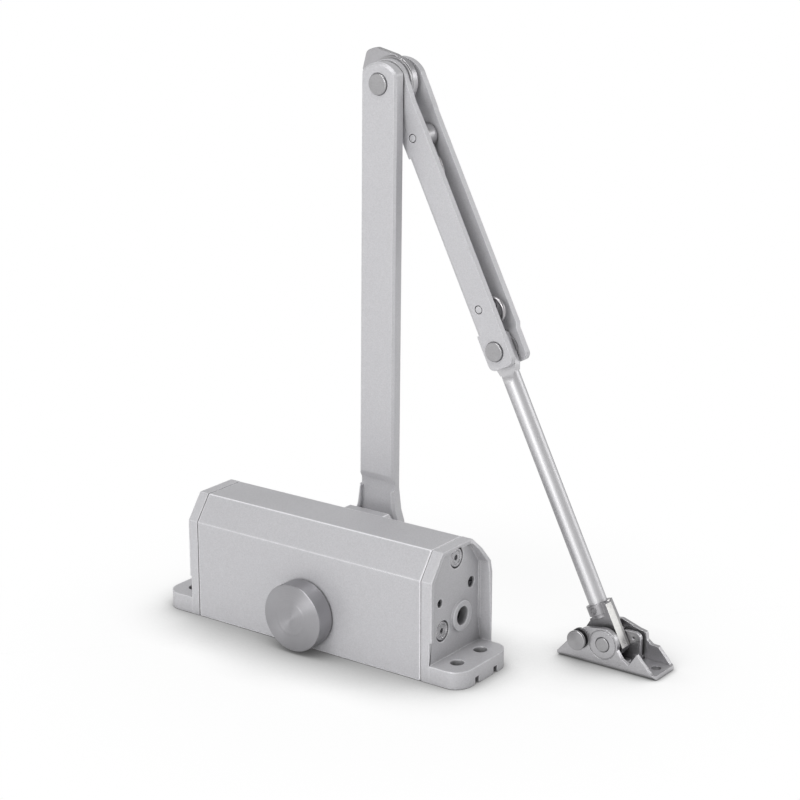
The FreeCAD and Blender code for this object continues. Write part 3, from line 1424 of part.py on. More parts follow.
def parts():
    """Every node of the closer with its maker."""
    return {
        "closer_body": closer_body(),
        "right_cover": right_cover(),
        "left_cover": left_cover(),
        "right_gasket": gasket(1, [TOP_SCREW, LOW_SCREW_RIGHT], ADJUSTER_R + SLIP),
        "left_gasket": gasket(-1, [TOP_SCREW, LOW_SCREW_LEFT], PLUG_THREAD_R + SLIP),
        "cover_screws": cover_screws(),
        "end_plug": end_plug(),
        "end_plug_seal": end_plug_seal(),
        "closing_valve": valve(*CLOSING_VALVE, CLOSING_VALVE_R),
        "latching_valve": valve(*LATCHING_VALVE, LATCHING_VALVE_R),
        "power_adjuster": power_adjuster(),
        "spring_seat": spring_seat(),
        "closing_spring": closing_spring(),
        "piston": piston(),
        "piston_ring": piston_ring(),
        "check_valve": check_valve(),
        "pinion_spindle": pinion_spindle(),
        "front_bearing": bearing(FRONT_BEARING, FRONT_JOURNAL_R),
        "rear_bearing": bearing(REAR_BEARING, REAR_JOURNAL_R),
        "front_seal": rod_y(FRONT_SEAL[0], FRONT_SEAL[1], 0, SPINDLE_Z, CROSS_BORE_R - SEAL_FIT),
        "rear_seal": bearing(REAR_SEAL, REAR_JOURNAL_R),
        "seal_retainer": seal_retainer(),
        "spindle_cap": spindle_cap(),
        "main_arm": main_arm(),
        "arm_washer": arm_washer(),
        "arm_screw": arm_screw(),
        "elbow_pin": elbow_pin(),
        "elbow_washers": elbow_washers(),
        "cam_plate": cam_plate(),
        "elbow_spacer": elbow_spacer(),
        "forearm_channel": forearm_channel(),
        "forearm_rivets": forearm_rivets(),
        "knee_pin": knee_pin(),
        "knee_washers": knee_washers(),
        "detent_lever": detent_lever(),
        "extension_spring": extension_spring(),
        "adjusting_rod": adjusting_rod(),
        "rod_adaptor": rod_adaptor(),
        "set_screw": set_screw(),
        "shoe_bracket": shoe_bracket(),
        "shoe_pin": shoe_pin(),
        "shoe_washers": shoe_washers(),
        "stop_plate": stop_plate(),
        "floor_rivet": floor_rivet(),
        "shoe_knob": shoe_knob(),
        "knob_bush": knob_bush(),
    }


os.makedirs("parts", exist_ok=True)
for name, shape in parts().items():
    solids = shape.Solids
    valid = all(s.isValid() and s.Volume > 0 for s in solids)
    print(name, "solids", len(solids), "valid", valid, "volume", round(shape.Volume, 1))
    shape.exportStep("parts/" + name + ".step")
print("elbow", elbow_point, "shoe pin along", round(shoe_pin_at, 3), "shoe x", round(shoe_x, 3))
print("levels", near_flange_y, near_wall_y, mid_y, far_flange_y, far_wall_y, shoe_front, shoe_back)
print("extension spring least gap", round(least_gap(extension_spring_path(), SPRING_WIRE / 2), 3))
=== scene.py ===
"""Looks of the surface door closer: painted body and arm, plated linkage and stamped shoe."""

import json
import logging
import math
from dataclasses import dataclass, replace
from enum import Enum
from functools import cache
from typing import Any, Callable

import bmesh
import bpy
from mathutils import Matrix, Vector


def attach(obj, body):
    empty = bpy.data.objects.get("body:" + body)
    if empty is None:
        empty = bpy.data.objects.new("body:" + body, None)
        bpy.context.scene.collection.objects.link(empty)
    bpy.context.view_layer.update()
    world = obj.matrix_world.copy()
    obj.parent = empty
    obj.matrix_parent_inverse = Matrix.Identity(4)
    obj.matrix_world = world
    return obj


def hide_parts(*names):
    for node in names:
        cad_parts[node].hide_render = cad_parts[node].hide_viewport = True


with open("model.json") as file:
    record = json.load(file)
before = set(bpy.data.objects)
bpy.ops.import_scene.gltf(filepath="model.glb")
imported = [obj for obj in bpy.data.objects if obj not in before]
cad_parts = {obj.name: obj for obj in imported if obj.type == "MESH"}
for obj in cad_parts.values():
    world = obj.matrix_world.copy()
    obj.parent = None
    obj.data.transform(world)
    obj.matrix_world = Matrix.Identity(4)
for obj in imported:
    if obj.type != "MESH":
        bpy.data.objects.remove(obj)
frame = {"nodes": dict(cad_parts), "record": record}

Colour = tuple[float, float, float]
Place = tuple[float, float, float]
Sizes = dict[str, Any]
Socket = bpy.types.NodeSocket
Tree = bpy.types.NodeTree
Piece = bpy.types.Object
Reshape = Callable[[bmesh.types.BMesh], None] | None

LOG = logging.getLogger("door_closer")
MM = 0.001
ZERO = (0.0, 0.0, 0.0)
QUARTER = math.pi / 2
WHITE = (1.0, 1.0, 1.0, 1.0)
BLACK = (0.0, 0.0, 0.0, 1.0)
# Colour of the painted shade in corners and gaps.
PAINTED_SHADE_COLOUR = (0.025, 0.024, 0.024, 1.0)
OBJECT_MIDDLE = (0.03, 0.02, 0.1)
SOCKET_KINDS = {float: "NodeSocketFloat", tuple: "NodeSocketVector"}


class Marks(Enum):
    """How a metal surface was worked."""

    TUMBLED = "tumbled"
    DRAWN = "drawn"
    TURNED = "turned"
    CAST = "cast"


class Axis(Enum):
    """Direction of an axis in the part's frame."""

    Y = (0.0, 1.0, 0.0)
    Z = (0.0, 0.0, 1.0)


class Sheet:
    """Lays out the nodes of one tree and joins them."""

    column_width = 190
    row_height = 160
    rows = 3

    def __init__(self, tree: Tree) -> None:
        """Keeps the tree to add to."""
        self.tree = tree
        self.count = 0

    def node(self, kind: str, inputs: dict[Any, Any] | None = None, **settings: Any) -> bpy.types.Node:
        """Adds a node.

        Args:
            kind: Blender's name for the node type.
            inputs: A socket or a value for each input to set, by name or number.
            settings: Values for the node's own properties.

        Returns:
            The new node.
        """
        made = self.tree.nodes.new(kind)
        made.location = (self.count * self.column_width, -(self.count % self.rows) * self.row_height)
        self.count += 1
        for name, value in settings.items():
            setattr(made, name, value)
        for key, value in (inputs or {}).items():
            self.feed(made.inputs[key], value)
        return made

    def feed(self, socket: Socket, value: Any) -> None:
        """Links a socket to an input, or sets the input's own value.

        Args:
            socket: The input.
            value: A socket, a number or a tuple.
        """
        if isinstance(value, bpy.types.NodeSocket):
            self.tree.links.new(value, socket)
        else:
            socket.default_value = value

    def calc(self, operation: str, *values: Any, clamp: bool = False) -> Socket:
        """The result of a Math node, held between 0 and 1 if clamped."""
        made = self.node("ShaderNodeMath", dict(enumerate(values)), operation=operation, use_clamp=clamp)
        return made.outputs[0]

    def plus(self, first: Any, second: Any, clamp: bool = False) -> Socket:
        """The sum of two numbers."""
        return self.calc("ADD", first, second, clamp=clamp)

    def minus(self, first: Any, second: Any) -> Socket:
        """The first number less the second."""
        return self.calc("SUBTRACT", first, second)

    def times(self, first: Any, second: Any, clamp: bool = False) -> Socket:
        """The product of two numbers."""
        return self.calc("MULTIPLY", first, second, clamp=clamp)

    def vector(self, operation: str, *values: Any) -> Socket:
        """The result of a Vector Math node, a number for a length or a dot product."""
        made = self.node("ShaderNodeVectorMath", dict(enumerate(values)), operation=operation)
        return made.outputs["Value" if operation in ("LENGTH", "DOT_PRODUCT") else "Vector"]

    def split(self, vector: Socket) -> Any:
        """The X, Y and Z of a vector by name."""
        return self.node("ShaderNodeSeparateXYZ", {0: vector}).outputs

    def polar(self, radius: Socket, turn: Socket, level: Socket) -> Socket:
        """The point at a radius, a turn about Z and a level."""
        east, north = (self.times(radius, self.calc(name, turn)) for name in ("COSINE", "SINE"))
        return self.node("ShaderNodeCombineXYZ", {"X": east, "Y": north, "Z": level}).outputs[0]

    def mix(self, share: Any, first: Any, second: Any) -> Socket:
        """Mixes a share of a second colour into the first."""
        return self.node("ShaderNodeMix", {"Factor": share, 6: first, 7: second}, data_type="RGBA").outputs[2]

    def noise(self, vector: Any, scale: Any, detail: float, roughness: float = 0.5) -> Socket:
        """A noise texture's value."""
        inputs = {"Vector": vector, "Scale": scale, "Detail": detail, "Roughness": roughness}
        return self.node("ShaderNodeTexNoise", inputs).outputs[0]

    def ramp(self, value: Socket, span: tuple[float, float], levels: tuple[float, float] = (0.0, 1.0)) -> Socket:
        """Eases from one level to another.

        Args:
            value: The value that leads.
            span: Where it starts and ends.
            levels: The result at the start and at the end.

        Returns:
            The level.
        """
        inputs = {"Value": value, "From Min": span[0], "From Max": span[1], "To Min": levels[0], "To Max": levels[1]}
        return self.node("ShaderNodeMapRange", inputs, interpolation_type="SMOOTHSTEP").outputs[0]

    def clear_rays(self) -> Socket:
        """Whether a ray comes from the camera, through glass or off a shiny face."""
        path = self.node("ShaderNodeLightPath").outputs
        direct = self.calc("MAXIMUM", path["Is Camera Ray"], path["Is Transmission Ray"])
        return self.calc("MAXIMUM", direct, path["Is Glossy Ray"])


class Group(Sheet):
    """A node group, with its inputs and outputs by name."""

    def __init__(self, name: str, kind: str, inputs: Sizes, outputs: Sizes) -> None:
        """Starts the group.

        Args:
            name: The group's name.
            kind: Blender's name for the tree type.
            inputs: Each input's name and default, or its socket type where it has no default.
            outputs: Each output's name and socket type.
        """
        super().__init__(bpy.data.node_groups.new(name, kind))
        face = self.tree.interface
        for key, value in inputs.items():
            row = face.new_socket(key, in_out="INPUT", socket_type=SOCKET_KINDS.get(type(value), value))
            if not isinstance(value, str):
                row.default_value = value
        for key, value in outputs.items():
            face.new_socket(key, in_out="OUTPUT", socket_type=value)
        entry, leave = self.node("NodeGroupInput").outputs, self.node("NodeGroupOutput").inputs
        self.entry = {s.name: s for s in entry if s.name}
        self.leave = {s.name: s for s in leave if s.name}

    def give(self, **values: Socket) -> Tree:
        """The finished tree, with each output fed."""
        for key, value in values.items():
            self.feed(self.leave[key], value)
        return self.tree


class Effects:
    """Shader groups that more than one finish uses, each made once."""

    @staticmethod
    def group(name: str, inputs: Sizes, *outputs: str) -> Group:
        """Starts a shader group with a place as its first input, and with numbers as outputs."""
        numbers = {key: SOCKET_KINDS[float] for key in outputs}
        return Group(name, "ShaderNodeTree", {"Vector": ZERO, **inputs}, numbers)

    @staticmethod
    @cache
    def metal_flakes() -> Tree:
        """Fine flakes in a silver paint, with its light orange peel."""
        made = Effects.group("metal_flakes", {"Flakes per metre": 2600.0, "Peel per metre": 700.0}, "Shade", "Height")
        place, density, peel_density = made.entry.values()
        finer, peel_share = 0.45, 0.7
        cells = made.node("ShaderNodeTexVoronoi", {"Vector": place, "Scale": density}, feature="F1")
        tone = made.node("ShaderNodeSeparateColor", {0: cells.outputs["Color"]}).outputs[0]
        fine = made.noise(place, made.times(density, finer), 3.0)
        peel = made.noise(place, peel_density, 1.0)
        shade = made.plus(made.times(tone, 0.5), made.times(fine, 0.5))
        height = made.plus(made.times(peel, peel_share), made.times(shade, 1 - peel_share))
        return made.give(Shade=shade, Height=height)

    @staticmethod
    @cache
    def handling() -> Tree:
        """Broad uneven patches, as from handling and plating."""
        made = Effects.group("handling", {"Patches per metre": 40.0, "Contrast": 1.5}, "Mask")
        place, density, contrast = made.entry.values()
        spread = made.times(made.minus(made.noise(place, density, 4.0, 0.6), 0.5), contrast)
        return made.give(Mask=made.plus(spread, 0.5, clamp=True))

    @staticmethod
    @cache
    def drawn_lines() -> Tree:
        """Lines left by drawing or rolling, close across and long along the piece."""
        made = Effects.group("drawn_lines", {"Lines per metre": (3000.0, 3000.0, 40.0)}, "Shade")
        return made.give(Shade=made.noise(made.vector("MULTIPLY", *made.entry.values()), 1.0, 3.0))

    @staticmethod
    @cache
    def turned_rings() -> Tree:
        """Rings left by the lathe round an axis through the vector's zero."""
        made = Effects.group("turned_rings", {"Axis": Axis.Y.value, "Rings per metre": 3000.0}, "Shade")
        place, axis, density = made.entry.values()
        slant = 1.3
        radius = made.vector("LENGTH", made.vector("CROSS_PRODUCT", place, axis))
        level = made.vector("DOT_PRODUCT", place, axis)
        reach = made.times(made.plus(radius, made.times(level, slant)), density)
        inputs = {"W": reach, "Scale": 1.0, "Detail": 2.0}
        return made.give(Shade=made.node("ShaderNodeTexNoise", inputs, noise_dimensions="1D").outputs[0])

    @staticmethod
    @cache
    def edge_wear() -> Tree:
        """A painted highlight along a rounded edge, broken up by noise."""
        made = Effects.group("edge_wear", {"Edge": 0.0, "Breaks per metre": 500.0, "Amount": 0.5}, "Mask")
        place, edge, density, amount = made.entry.values()
        least = 0.25
        breaks = made.plus(made.noise(place, density, 4.0), least, clamp=True)
        return made.give(Mask=made.times(made.times(edge, breaks), amount, clamp=True))

    @staticmethod
    @cache
    def corner_grime() -> Tree:
        """Painted shade in corners, fainter in patches."""
        inputs = {"Hidden": 0.0, "Starts at": 0.0, "Patches per metre": 300.0, "Amount": 0.6}
        made = Effects.group("corner_grime", inputs, "Mask")
        place, hidden, start, density, amount = made.entry.values()
        full, faintest, falloff = 0.8, 0.75, 1.7
        share = made.calc("DIVIDE", made.minus(hidden, start), made.minus(full, start), clamp=True)
        patchy = made.plus(made.times(made.noise(place, density, 2.0), 0.5), faintest)
        deep = made.times(made.calc("POWER", share, falloff), patchy)
        return made.give(Mask=made.times(deep, amount, clamp=True))


def tinted(colour: Colour, gain: float, lift: float = 0.0) -> tuple[float, ...]:
    """A colour made lighter or darker, with full alpha."""
    return (*(min(1.0, c * gain + lift) for c in colour), 1.0)


class Surface(Sheet):
    """A material's sheet, with its shader and the coordinates that all finishes share."""

    bevel_samples = 6
    bend_gain = 10.0
    hidden_samples = 8

    def __init__(self, name: str, roughness: float, metallic: float, colour: Colour) -> None:
        """Makes the material and its shader.

        Args:
            name: The material's name.
            roughness: The shader's roughness.
            metallic: The shader's metallic share.
            colour: The shader's colour.
        """
        self.material = bpy.data.materials.new(name)
        self.material.use_nodes = True
        super().__init__(self.material.node_tree)
        self.tree.nodes.clear()
        self.material.diffuse_color = tinted(colour, 1.0)
        inputs = {"Roughness": roughness, "Metallic": metallic, "Base Color": tinted(colour, 1.0)}
        self.shader = self.node("ShaderNodeBsdfPrincipled", inputs)
        self.node("ShaderNodeOutputMaterial", {0: self.shader.outputs[0]})
        self.place = self.node("ShaderNodeTexCoord").outputs["Object"]
        self.rounded: Socket | None = None

    def put(self, name: str, value: Any) -> None:
        """Feeds one of the shader's inputs."""
        self.feed(self.shader.inputs[name], value)

    def effect(self, tree: Tree, **values: Any) -> dict[str, Socket]:
        """The outputs of a shader group, whose inputs are named with underscores for spaces."""
        inputs = {key.replace("_", " "): value for key, value in values.items()}
        made = self.node("ShaderNodeGroup", {"Vector": self.place, **inputs}, node_tree=tree)
        return {s.name: s for s in made.outputs}

    def uneven(self, per_metre: float) -> Socket:
        """The mask of the handling patches."""
        return self.effect(Effects.handling(), Patches_per_metre=per_metre)["Mask"]

    def soften(self, radius: float) -> None:
        """Rounds the shading over the edges by a radius in millimetres, and keeps the rounded direction."""
        over = self.node("ShaderNodeBevel", {"Radius": radius * MM}, samples=self.bevel_samples)
        self.rounded = over.outputs[0]

    def relief(self, height: Socket, strength: float, depth: float) -> None:
        """Gives the surface a fine relief.

        Args:
            height: The height, from 0 to 1.
            strength: How much of it shows.
            depth: Its depth in metres.
        """
        inputs = {"Strength": strength, "Distance": depth, "Height": height}
        if self.rounded is not None:
            inputs["Normal"] = self.rounded
        self.put("Normal", self.node("ShaderNodeBump", inputs).outputs[0])

    def mottled(self, colour: Colour, contrast: float, shade: Socket) -> Socket:
        """The colour, darker and lighter by a contrast after a shade."""
        return self.mix(shade, tinted(colour, 1 - contrast), tinted(colour, 1 + contrast))

    def edge_highlight_mask(self, amount: float) -> Socket:
        """Where this piece's edges get a painted highlight: its rounded faces, and where the shading is rounded over.

        Args:
            amount: How much of the painted highlight shows.

        Returns:
            The mask.
        """
        edge = self.node("ShaderNodeAttribute", attribute_name="soft_edge").outputs["Fac"]
        if self.rounded is not None:
            flat = self.node("ShaderNodeNewGeometry").outputs["Normal"]
            turned = self.minus(1.0, self.vector("DOT_PRODUCT", self.rounded, flat))
            edge = self.calc("MAXIMUM", edge, self.times(turned, self.bend_gain, clamp=True))
        return self.effect(Effects.edge_wear(), Edge=edge, Amount=amount)["Mask"]

    def painted_shade(self, colour: Socket, reach: float, amount: float, start: float = 0.0) -> Socket:
        """Paints shade into a colour in narrow corners and gaps, from ambient occlusion.

        Args:
            colour: The colour before the painted shade.
            reach: How far from a corner it spreads, in millimetres.
            amount: How much of it shows.
            start: How hidden a spot has to be before it darkens, from 0 to 0.7.

        Returns:
            The colour with the painted shade.
        """
        around = self.node("ShaderNodeAmbientOcclusion", {"Distance": reach * MM}, samples=self.hidden_samples)
        hidden = self.minus(1.0, around.outputs["AO"])
        share = self.effect(Effects.corner_grime(), Hidden=hidden, Starts_at=start, Amount=amount)["Mask"]
        return self.mix(share, colour, PAINTED_SHADE_COLOUR)


@dataclass(frozen=True)
class SilverPaint:
    """Silver metallic paint with fine flakes, a painted highlight on its rounded edges and painted shade in its
    corners and hollows.
    """

    name: str
    colour: Colour
    roughness: float = 0.46
    metallic: float = 0.30
    flakes: float = 2600.0
    patches: float = 35.0
    contrast: float = 0.12
    edge_highlight: float = 0.5
    peel: float = 0.08
    peel_depth: float = 0.0004
    rounding: float = 0.45
    painted_shade: float = 0.55
    reach: float = 1.1
    start: float = 0.0
    edge_gain: float = 1.22
    edge_lift: float = 0.04
    hollow: float = 0.0
    hollow_reach: float = 16.0
    hollow_start: float = 0.1
    spread: float = 0.10

    def material(self) -> bpy.types.Material:
        """The paint."""
        sheet = Surface(self.name, self.roughness, self.metallic, self.colour)
        sheet.soften(self.rounding)
        flakes = sheet.effect(Effects.metal_flakes(), Flakes_per_metre=self.flakes)
        patch = sheet.uneven(self.patches)
        tone = sheet.mottled(self.colour, self.contrast, flakes["Shade"])
        # Painted highlight along the rounded edges.
        highlit = sheet.mix(sheet.edge_highlight_mask(self.edge_highlight), tone, tinted(self.colour, self.edge_gain, self.edge_lift))
        # Painted shade in corners and gaps, then a wider painted shade in deep hollows.
        highlit_and_shaded = sheet.painted_shade(highlit, self.reach, self.painted_shade, self.start)
        if self.hollow > 0:
            highlit_and_shaded = sheet.painted_shade(highlit_and_shaded, self.hollow_reach, self.hollow, self.hollow_start)
        sheet.put("Base Color", highlit_and_shaded)
        sheet.put("Roughness", sheet.plus(self.roughness - self.spread / 2, sheet.times(patch, self.spread)))
        sheet.relief(flakes["Height"], self.peel, self.peel_depth)
        return sheet.material


@dataclass(frozen=True)
class WorkedMetal:
    """Bare or plated metal with the marks of its making."""

    name: str
    colour: Colour
    marks: Marks
    roughness: float = 0.3
    metallic: float = 0.95
    axis: Axis = Axis.Y
    centre: Place = ZERO
    tilt: float = 0.0
    contrast: float = 0.14
    patches: float = 120.0
    edge_highlight: float = 0.5
    edge_gain: float = 1.25
    edge_lift: float = 0.05
    relief: float = 0.12
    relief_depth: float = 0.0003
    density: float = 3000.0
    along: float = 40.0
    rounding: float = 0.3
    painted_shade: float = 0.75
    reach: float = 1.0
    brushed: float = 0.55
    brush_turn: float = 0.25
    edge_tint: float = 1.0
    machined_to: float | None = None
    machined_ease: float = 0.3
    cast_share: float = 0.5
    marks_share: float = 0.65
    most_spread: float = 0.22

    def pattern(self, sheet: Surface) -> Socket:
        """The marks of the making.

        Args:
            sheet: The material's sheet.

        Returns:
            A shade from 0 to 1.
        """
        if self.marks in (Marks.TUMBLED, Marks.CAST):
            grain = sheet.effect(Effects.metal_flakes(), Flakes_per_metre=self.density)
            return grain["Shade" if self.marks is Marks.TUMBLED else "Height"]
        shift = tuple(v * MM for v in self.centre)
        inputs = {"Vector": sheet.place, "Location": shift, "Rotation": (0.0, math.radians(self.tilt), 0.0)}
        spot = sheet.node("ShaderNodeMapping", inputs, vector_type="TEXTURE").outputs[0]
        if self.marks is Marks.DRAWN:
            lines = tuple(self.along if a else self.density for a in self.axis.value)
            return sheet.effect(Effects.drawn_lines(), Vector=spot, Lines_per_metre=lines)["Shade"]
        sheet.put("Tangent", sheet.vector("NORMALIZE", sheet.vector("CROSS_PRODUCT", spot, self.axis.value)))
        sheet.put("Anisotropic", self.brushed)
        sheet.put("Anisotropic Rotation", self.brush_turn)
        rings = sheet.effect(Effects.turned_rings(), Vector=spot, Axis=self.axis.value, Rings_per_metre=self.density)
        return rings["Shade"]

    def material(self) -> bpy.types.Material:
        """The metal."""
        sheet = Surface(self.name, self.roughness, self.metallic, self.colour)
        sheet.put("Specular Tint", (self.edge_tint, self.edge_tint, self.edge_tint, 1.0))
        if self.rounding > 0:
            sheet.soften(self.rounding)
        shade = self.pattern(sheet)
        patch = sheet.uneven(self.patches)
        both = sheet.plus(sheet.times(shade, self.marks_share), sheet.times(patch, 1 - self.marks_share))
        tone = sheet.mottled(self.colour, self.contrast, both)
        if self.machined_to is not None:
            ease = self.machined_ease
            span = ((self.machined_to - ease) * MM, (self.machined_to + ease) * MM)
            ground = sheet.ramp(sheet.split(sheet.place)["Y"], span)
            tone = sheet.mix(ground, tone, tinted(self.colour, self.cast_share))
        # Painted highlight along the rounded edges.
        highlit_and_shaded = sheet.mix(sheet.edge_highlight_mask(self.edge_highlight), tone, tinted(self.colour, self.edge_gain, self.edge_lift))
        # Painted shade in corners and gaps.
        if self.painted_shade > 0:
            highlit_and_shaded = sheet.painted_shade(highlit_and_shaded, self.reach, self.painted_shade)
        sheet.put("Base Color", highlit_and_shaded)
        spread = sheet.times(sheet.minus(both, 0.5), min(self.most_spread, self.contrast))
        sheet.put("Roughness", sheet.plus(spread, self.roughness, clamp=True))
        if self.relief > 0:
            sheet.relief(shade, self.relief, self.relief_depth)
        return sheet.material


@dataclass(frozen=True)
class SoftStuff:
    """Rubber or gasket sheet: matt, mottled and lightly dusted."""

    name: str
    colour: Colour
    dust: Colour = (0.35, 0.34, 0.33)
    roughness: float = 0.75
    patches: float = 260.0
    dust_power: float = 3.0
    dust_share: float = 0.35
    spread: float = 0.2
    relief: float = 0.2
    relief_depth: float = 0.0002

    def material(self) -> bpy.types.Material:
        """The rubber or sheet."""
        sheet = Surface(self.name, self.roughness, 0.0, self.colour)
        patch = sheet.uneven(self.patches)
        dusty = sheet.times(sheet.calc("POWER", patch, self.dust_power), self.dust_share)
        sheet.put("Base Color", sheet.mix(dusty, tinted(self.colour, 1.0), tinted(self.dust, 1.0)))
        sheet.put("Roughness", sheet.plus(self.roughness - self.spread / 2, sheet.times(patch, self.spread)))
        sheet.relief(patch, self.relief, self.relief_depth)
        return sheet.material


class Rule(Group):
    """A Geometry Nodes tree that repeats one shape on points."""

    def __init__(self, name: str, sizes: Sizes) -> None:
        """Starts the tree with points, some sizes, a turn and a material as inputs."""
        shape = {"Geometry": "NodeSocketGeometry"}
        inputs = {**shape, **sizes, "Turn": ZERO, "Material": "NodeSocketMaterial"}
        super().__init__(name, "GeometryNodeTree", inputs, shape)

    def repeat(self, shape: Socket) -> Tree:
        """Sets a copy of a shape on each point, turned, made real and with its material.

        Args:
            shape: The geometry to repeat.

        Returns:
            The finished tree.
        """
        flat = self.node("GeometryNodeSetShadeSmooth", {"Geometry": shape, "Shade Smooth": False})
        inputs = {"Points": self.entry["Geometry"], "Instance": flat.outputs[0], "Rotation": self.entry["Turn"]}
        spots = self.node("GeometryNodeInstanceOnPoints", inputs)
        real = self.node("GeometryNodeRealizeInstances", {0: spots.outputs[0]})
        inputs = {"Geometry": real.outputs[0], "Material": self.entry["Material"]}
        return self.give(Geometry=self.node("GeometryNodeSetMaterial", inputs).outputs[0])

    def grow(self, shape: Socket, top: Any, lift: Any, scale: float) -> tuple[Socket, Socket]:
        """Extrudes the top face and scales it.

        Args:
            shape: The mesh so far.
            top: Selection of its top face, or True for all.
            lift: How far to extrude upwards.
            scale: How much the new top is scaled about its centre.

        Returns:
            The new mesh and the selection of its new top.
        """
        up = self.node("ShaderNodeCombineXYZ", {"Z": 1.0}).outputs[0]
        inputs = {"Mesh": shape, "Selection": top, "Offset": up, "Offset Scale": lift}
        out = self.node("GeometryNodeExtrudeMesh", inputs, mode="FACES").outputs
        inputs = {"Geometry": out["Mesh"], "Selection": out["Top"], "Scale": scale}
        return self.node("GeometryNodeScaleElements", inputs).outputs[0], out["Top"]

    def wire(self, path: Socket, radius: Socket, corners: int, capped: bool) -> Socket:
        """A round wire along a curve.

        Args:
            path: The curve.
            radius: The wire's radius.
            corners: How many corners its section has.
            capped: Whether its ends are closed.

        Returns:
            The mesh.
        """
        section = self.node("GeometryNodeCurvePrimitiveCircle", {"Resolution": corners, "Radius": radius})
        inputs = {"Curve": path, "Profile Curve": section.outputs[0], "Fill Caps": capped}
        return self.node("GeometryNodeCurveToMesh", inputs).outputs[0]


class Rules:
    """The rules for what repeats on the closer, each made once."""

    @staticmethod
    @cache
    def domed_pins() -> Tree:
        """Rivets with a domed head at both ends."""
        rule = Rule("domed_pins", {"Radius": 0.002, "Length": 0.016, "Dome": 0.0005})
        _, rim, length, dome, *_ = rule.entry.values()
        inputs = {"Vertices X": 49, "Vertices Y": 22, "Size X": 2 * math.pi, "Size Y": 2.0}
        profile = rule.node("GeometryNodeMeshGrid", inputs)
        parts = rule.split(rule.node("GeometryNodeInputPosition").outputs[0])
        reach = rule.calc("ABSOLUTE", parts["Y"])
        inner = rule.times(rule.minus(reach, 0.5), 2.0, clamp=True)
        fall = rule.calc("SQRT", rule.minus(1.0, rule.times(inner, inner)))
        shank = rule.minus(rule.times(length, 0.5), dome)
        straight = rule.times(rule.calc("MINIMUM", rule.times(reach, 2.0), 1.0), shank)
        height = rule.plus(straight, rule.times(rule.minus(1.0, fall), dome))
        spot = rule.polar(rule.times(fall, rim), parts["X"], rule.times(rule.calc("SIGN", parts["Y"]), height))
        moved = rule.node("GeometryNodeSetPosition", {"Geometry": profile.outputs[0], "Position": spot})
        inputs = {"Geometry": moved.outputs[0], "Distance": 1e-6}
        return rule.repeat(rule.node("GeometryNodeMergeByDistance", inputs).outputs[0])

    @staticmethod
    @cache
    def socket_screws() -> Tree:
        """Screw heads with a chamfered rim, a raised ring and a sunk hexagon socket."""
        sizes = {"Head radius": 0.0047, "Head height": 0.0021, "Socket radius": 0.0015, "Socket depth": 0.0013}
        rule = Rule("socket_screws", sizes)
        _, rim, head, across, depth, *_ = rule.entry.values()
        disc = rule.node("GeometryNodeMeshCircle", {"Vertices": 72, "Radius": rim}, fill_type="NGON")
        shape, top, so_far = disc.outputs["Mesh"], True, 1.0
        for share, lift in ((1.0, 0.82), (0.93, 0.18), (0.74, 0.0), (0.70, -0.16), (0.52, 0.02), (0.52, 0.0)):
            shape, top = rule.grow(shape, top, rule.times(head, lift), share / so_far)
            so_far = share
        parts = rule.split(rule.node("GeometryNodeInputPosition").outputs[0])
        turn = rule.calc("ARCTAN2", parts["Y"], parts["X"])
        sector = rule.minus(rule.calc("FLOORED_MODULO", turn, math.pi / 3), math.pi / 6)
        radius = rule.calc("DIVIDE", rule.times(across, math.cos(math.pi / 6)), rule.calc("COSINE", sector))
        inputs = {"Geometry": shape, "Selection": top, "Position": rule.polar(radius, turn, parts["Z"])}
        hexed = rule.node("GeometryNodeSetPosition", inputs).outputs[0]
        return rule.repeat(rule.grow(hexed, top, rule.times(depth, -1.0), 0.97)[0])

    @staticmethod
    @cache
    def wound_spring() -> Tree:
        """A round wire wound on a straight axis."""
        rule = Rule("wound_spring", {"Mean radius": 0.01, "Wire radius": 0.0014, "Length": 0.036, "Turns": 4.0})
        _, mean, wire, length, turns, *_ = rule.entry.values()
        inputs = {"Resolution": 48, "Rotations": turns, "Start Radius": mean, "End Radius": mean, "Height": length}
        coil = rule.node("GeometryNodeCurveSpiral", inputs).outputs[0]
        return rule.repeat(rule.wire(coil, wire, 20, True))

    @staticmethod
    @cache
    def foot_rings() -> Tree:
        """Thin round rings, for painted shade round riveted heads."""
        rule = Rule("foot_rings", {"Ring radius": 0.005, "Wire radius": 0.0003})
        inputs = {"Resolution": 72, "Radius": rule.entry["Ring radius"]}
        path = rule.node("GeometryNodeCurvePrimitiveCircle", inputs).outputs[0]
        return rule.repeat(rule.wire(path, rule.entry["Wire radius"], 10, False))


def link(name: str, data: Any) -> Piece:
    """A new object in the scene."""
    made = bpy.data.objects.new(name, data)
    bpy.context.scene.collection.objects.link(made)
    return made


def meshed(work: bmesh.types.BMesh, name: str) -> bpy.types.Mesh:
    """Turns a worked mesh into a plain one and frees it.

    Args:
        work: The worked mesh.
        name: The plain mesh's name.

    Returns:
        The plain mesh.
    """
    mesh = bpy.data.meshes.new(name)
    work.to_mesh(mesh)
    work.free()
    return mesh


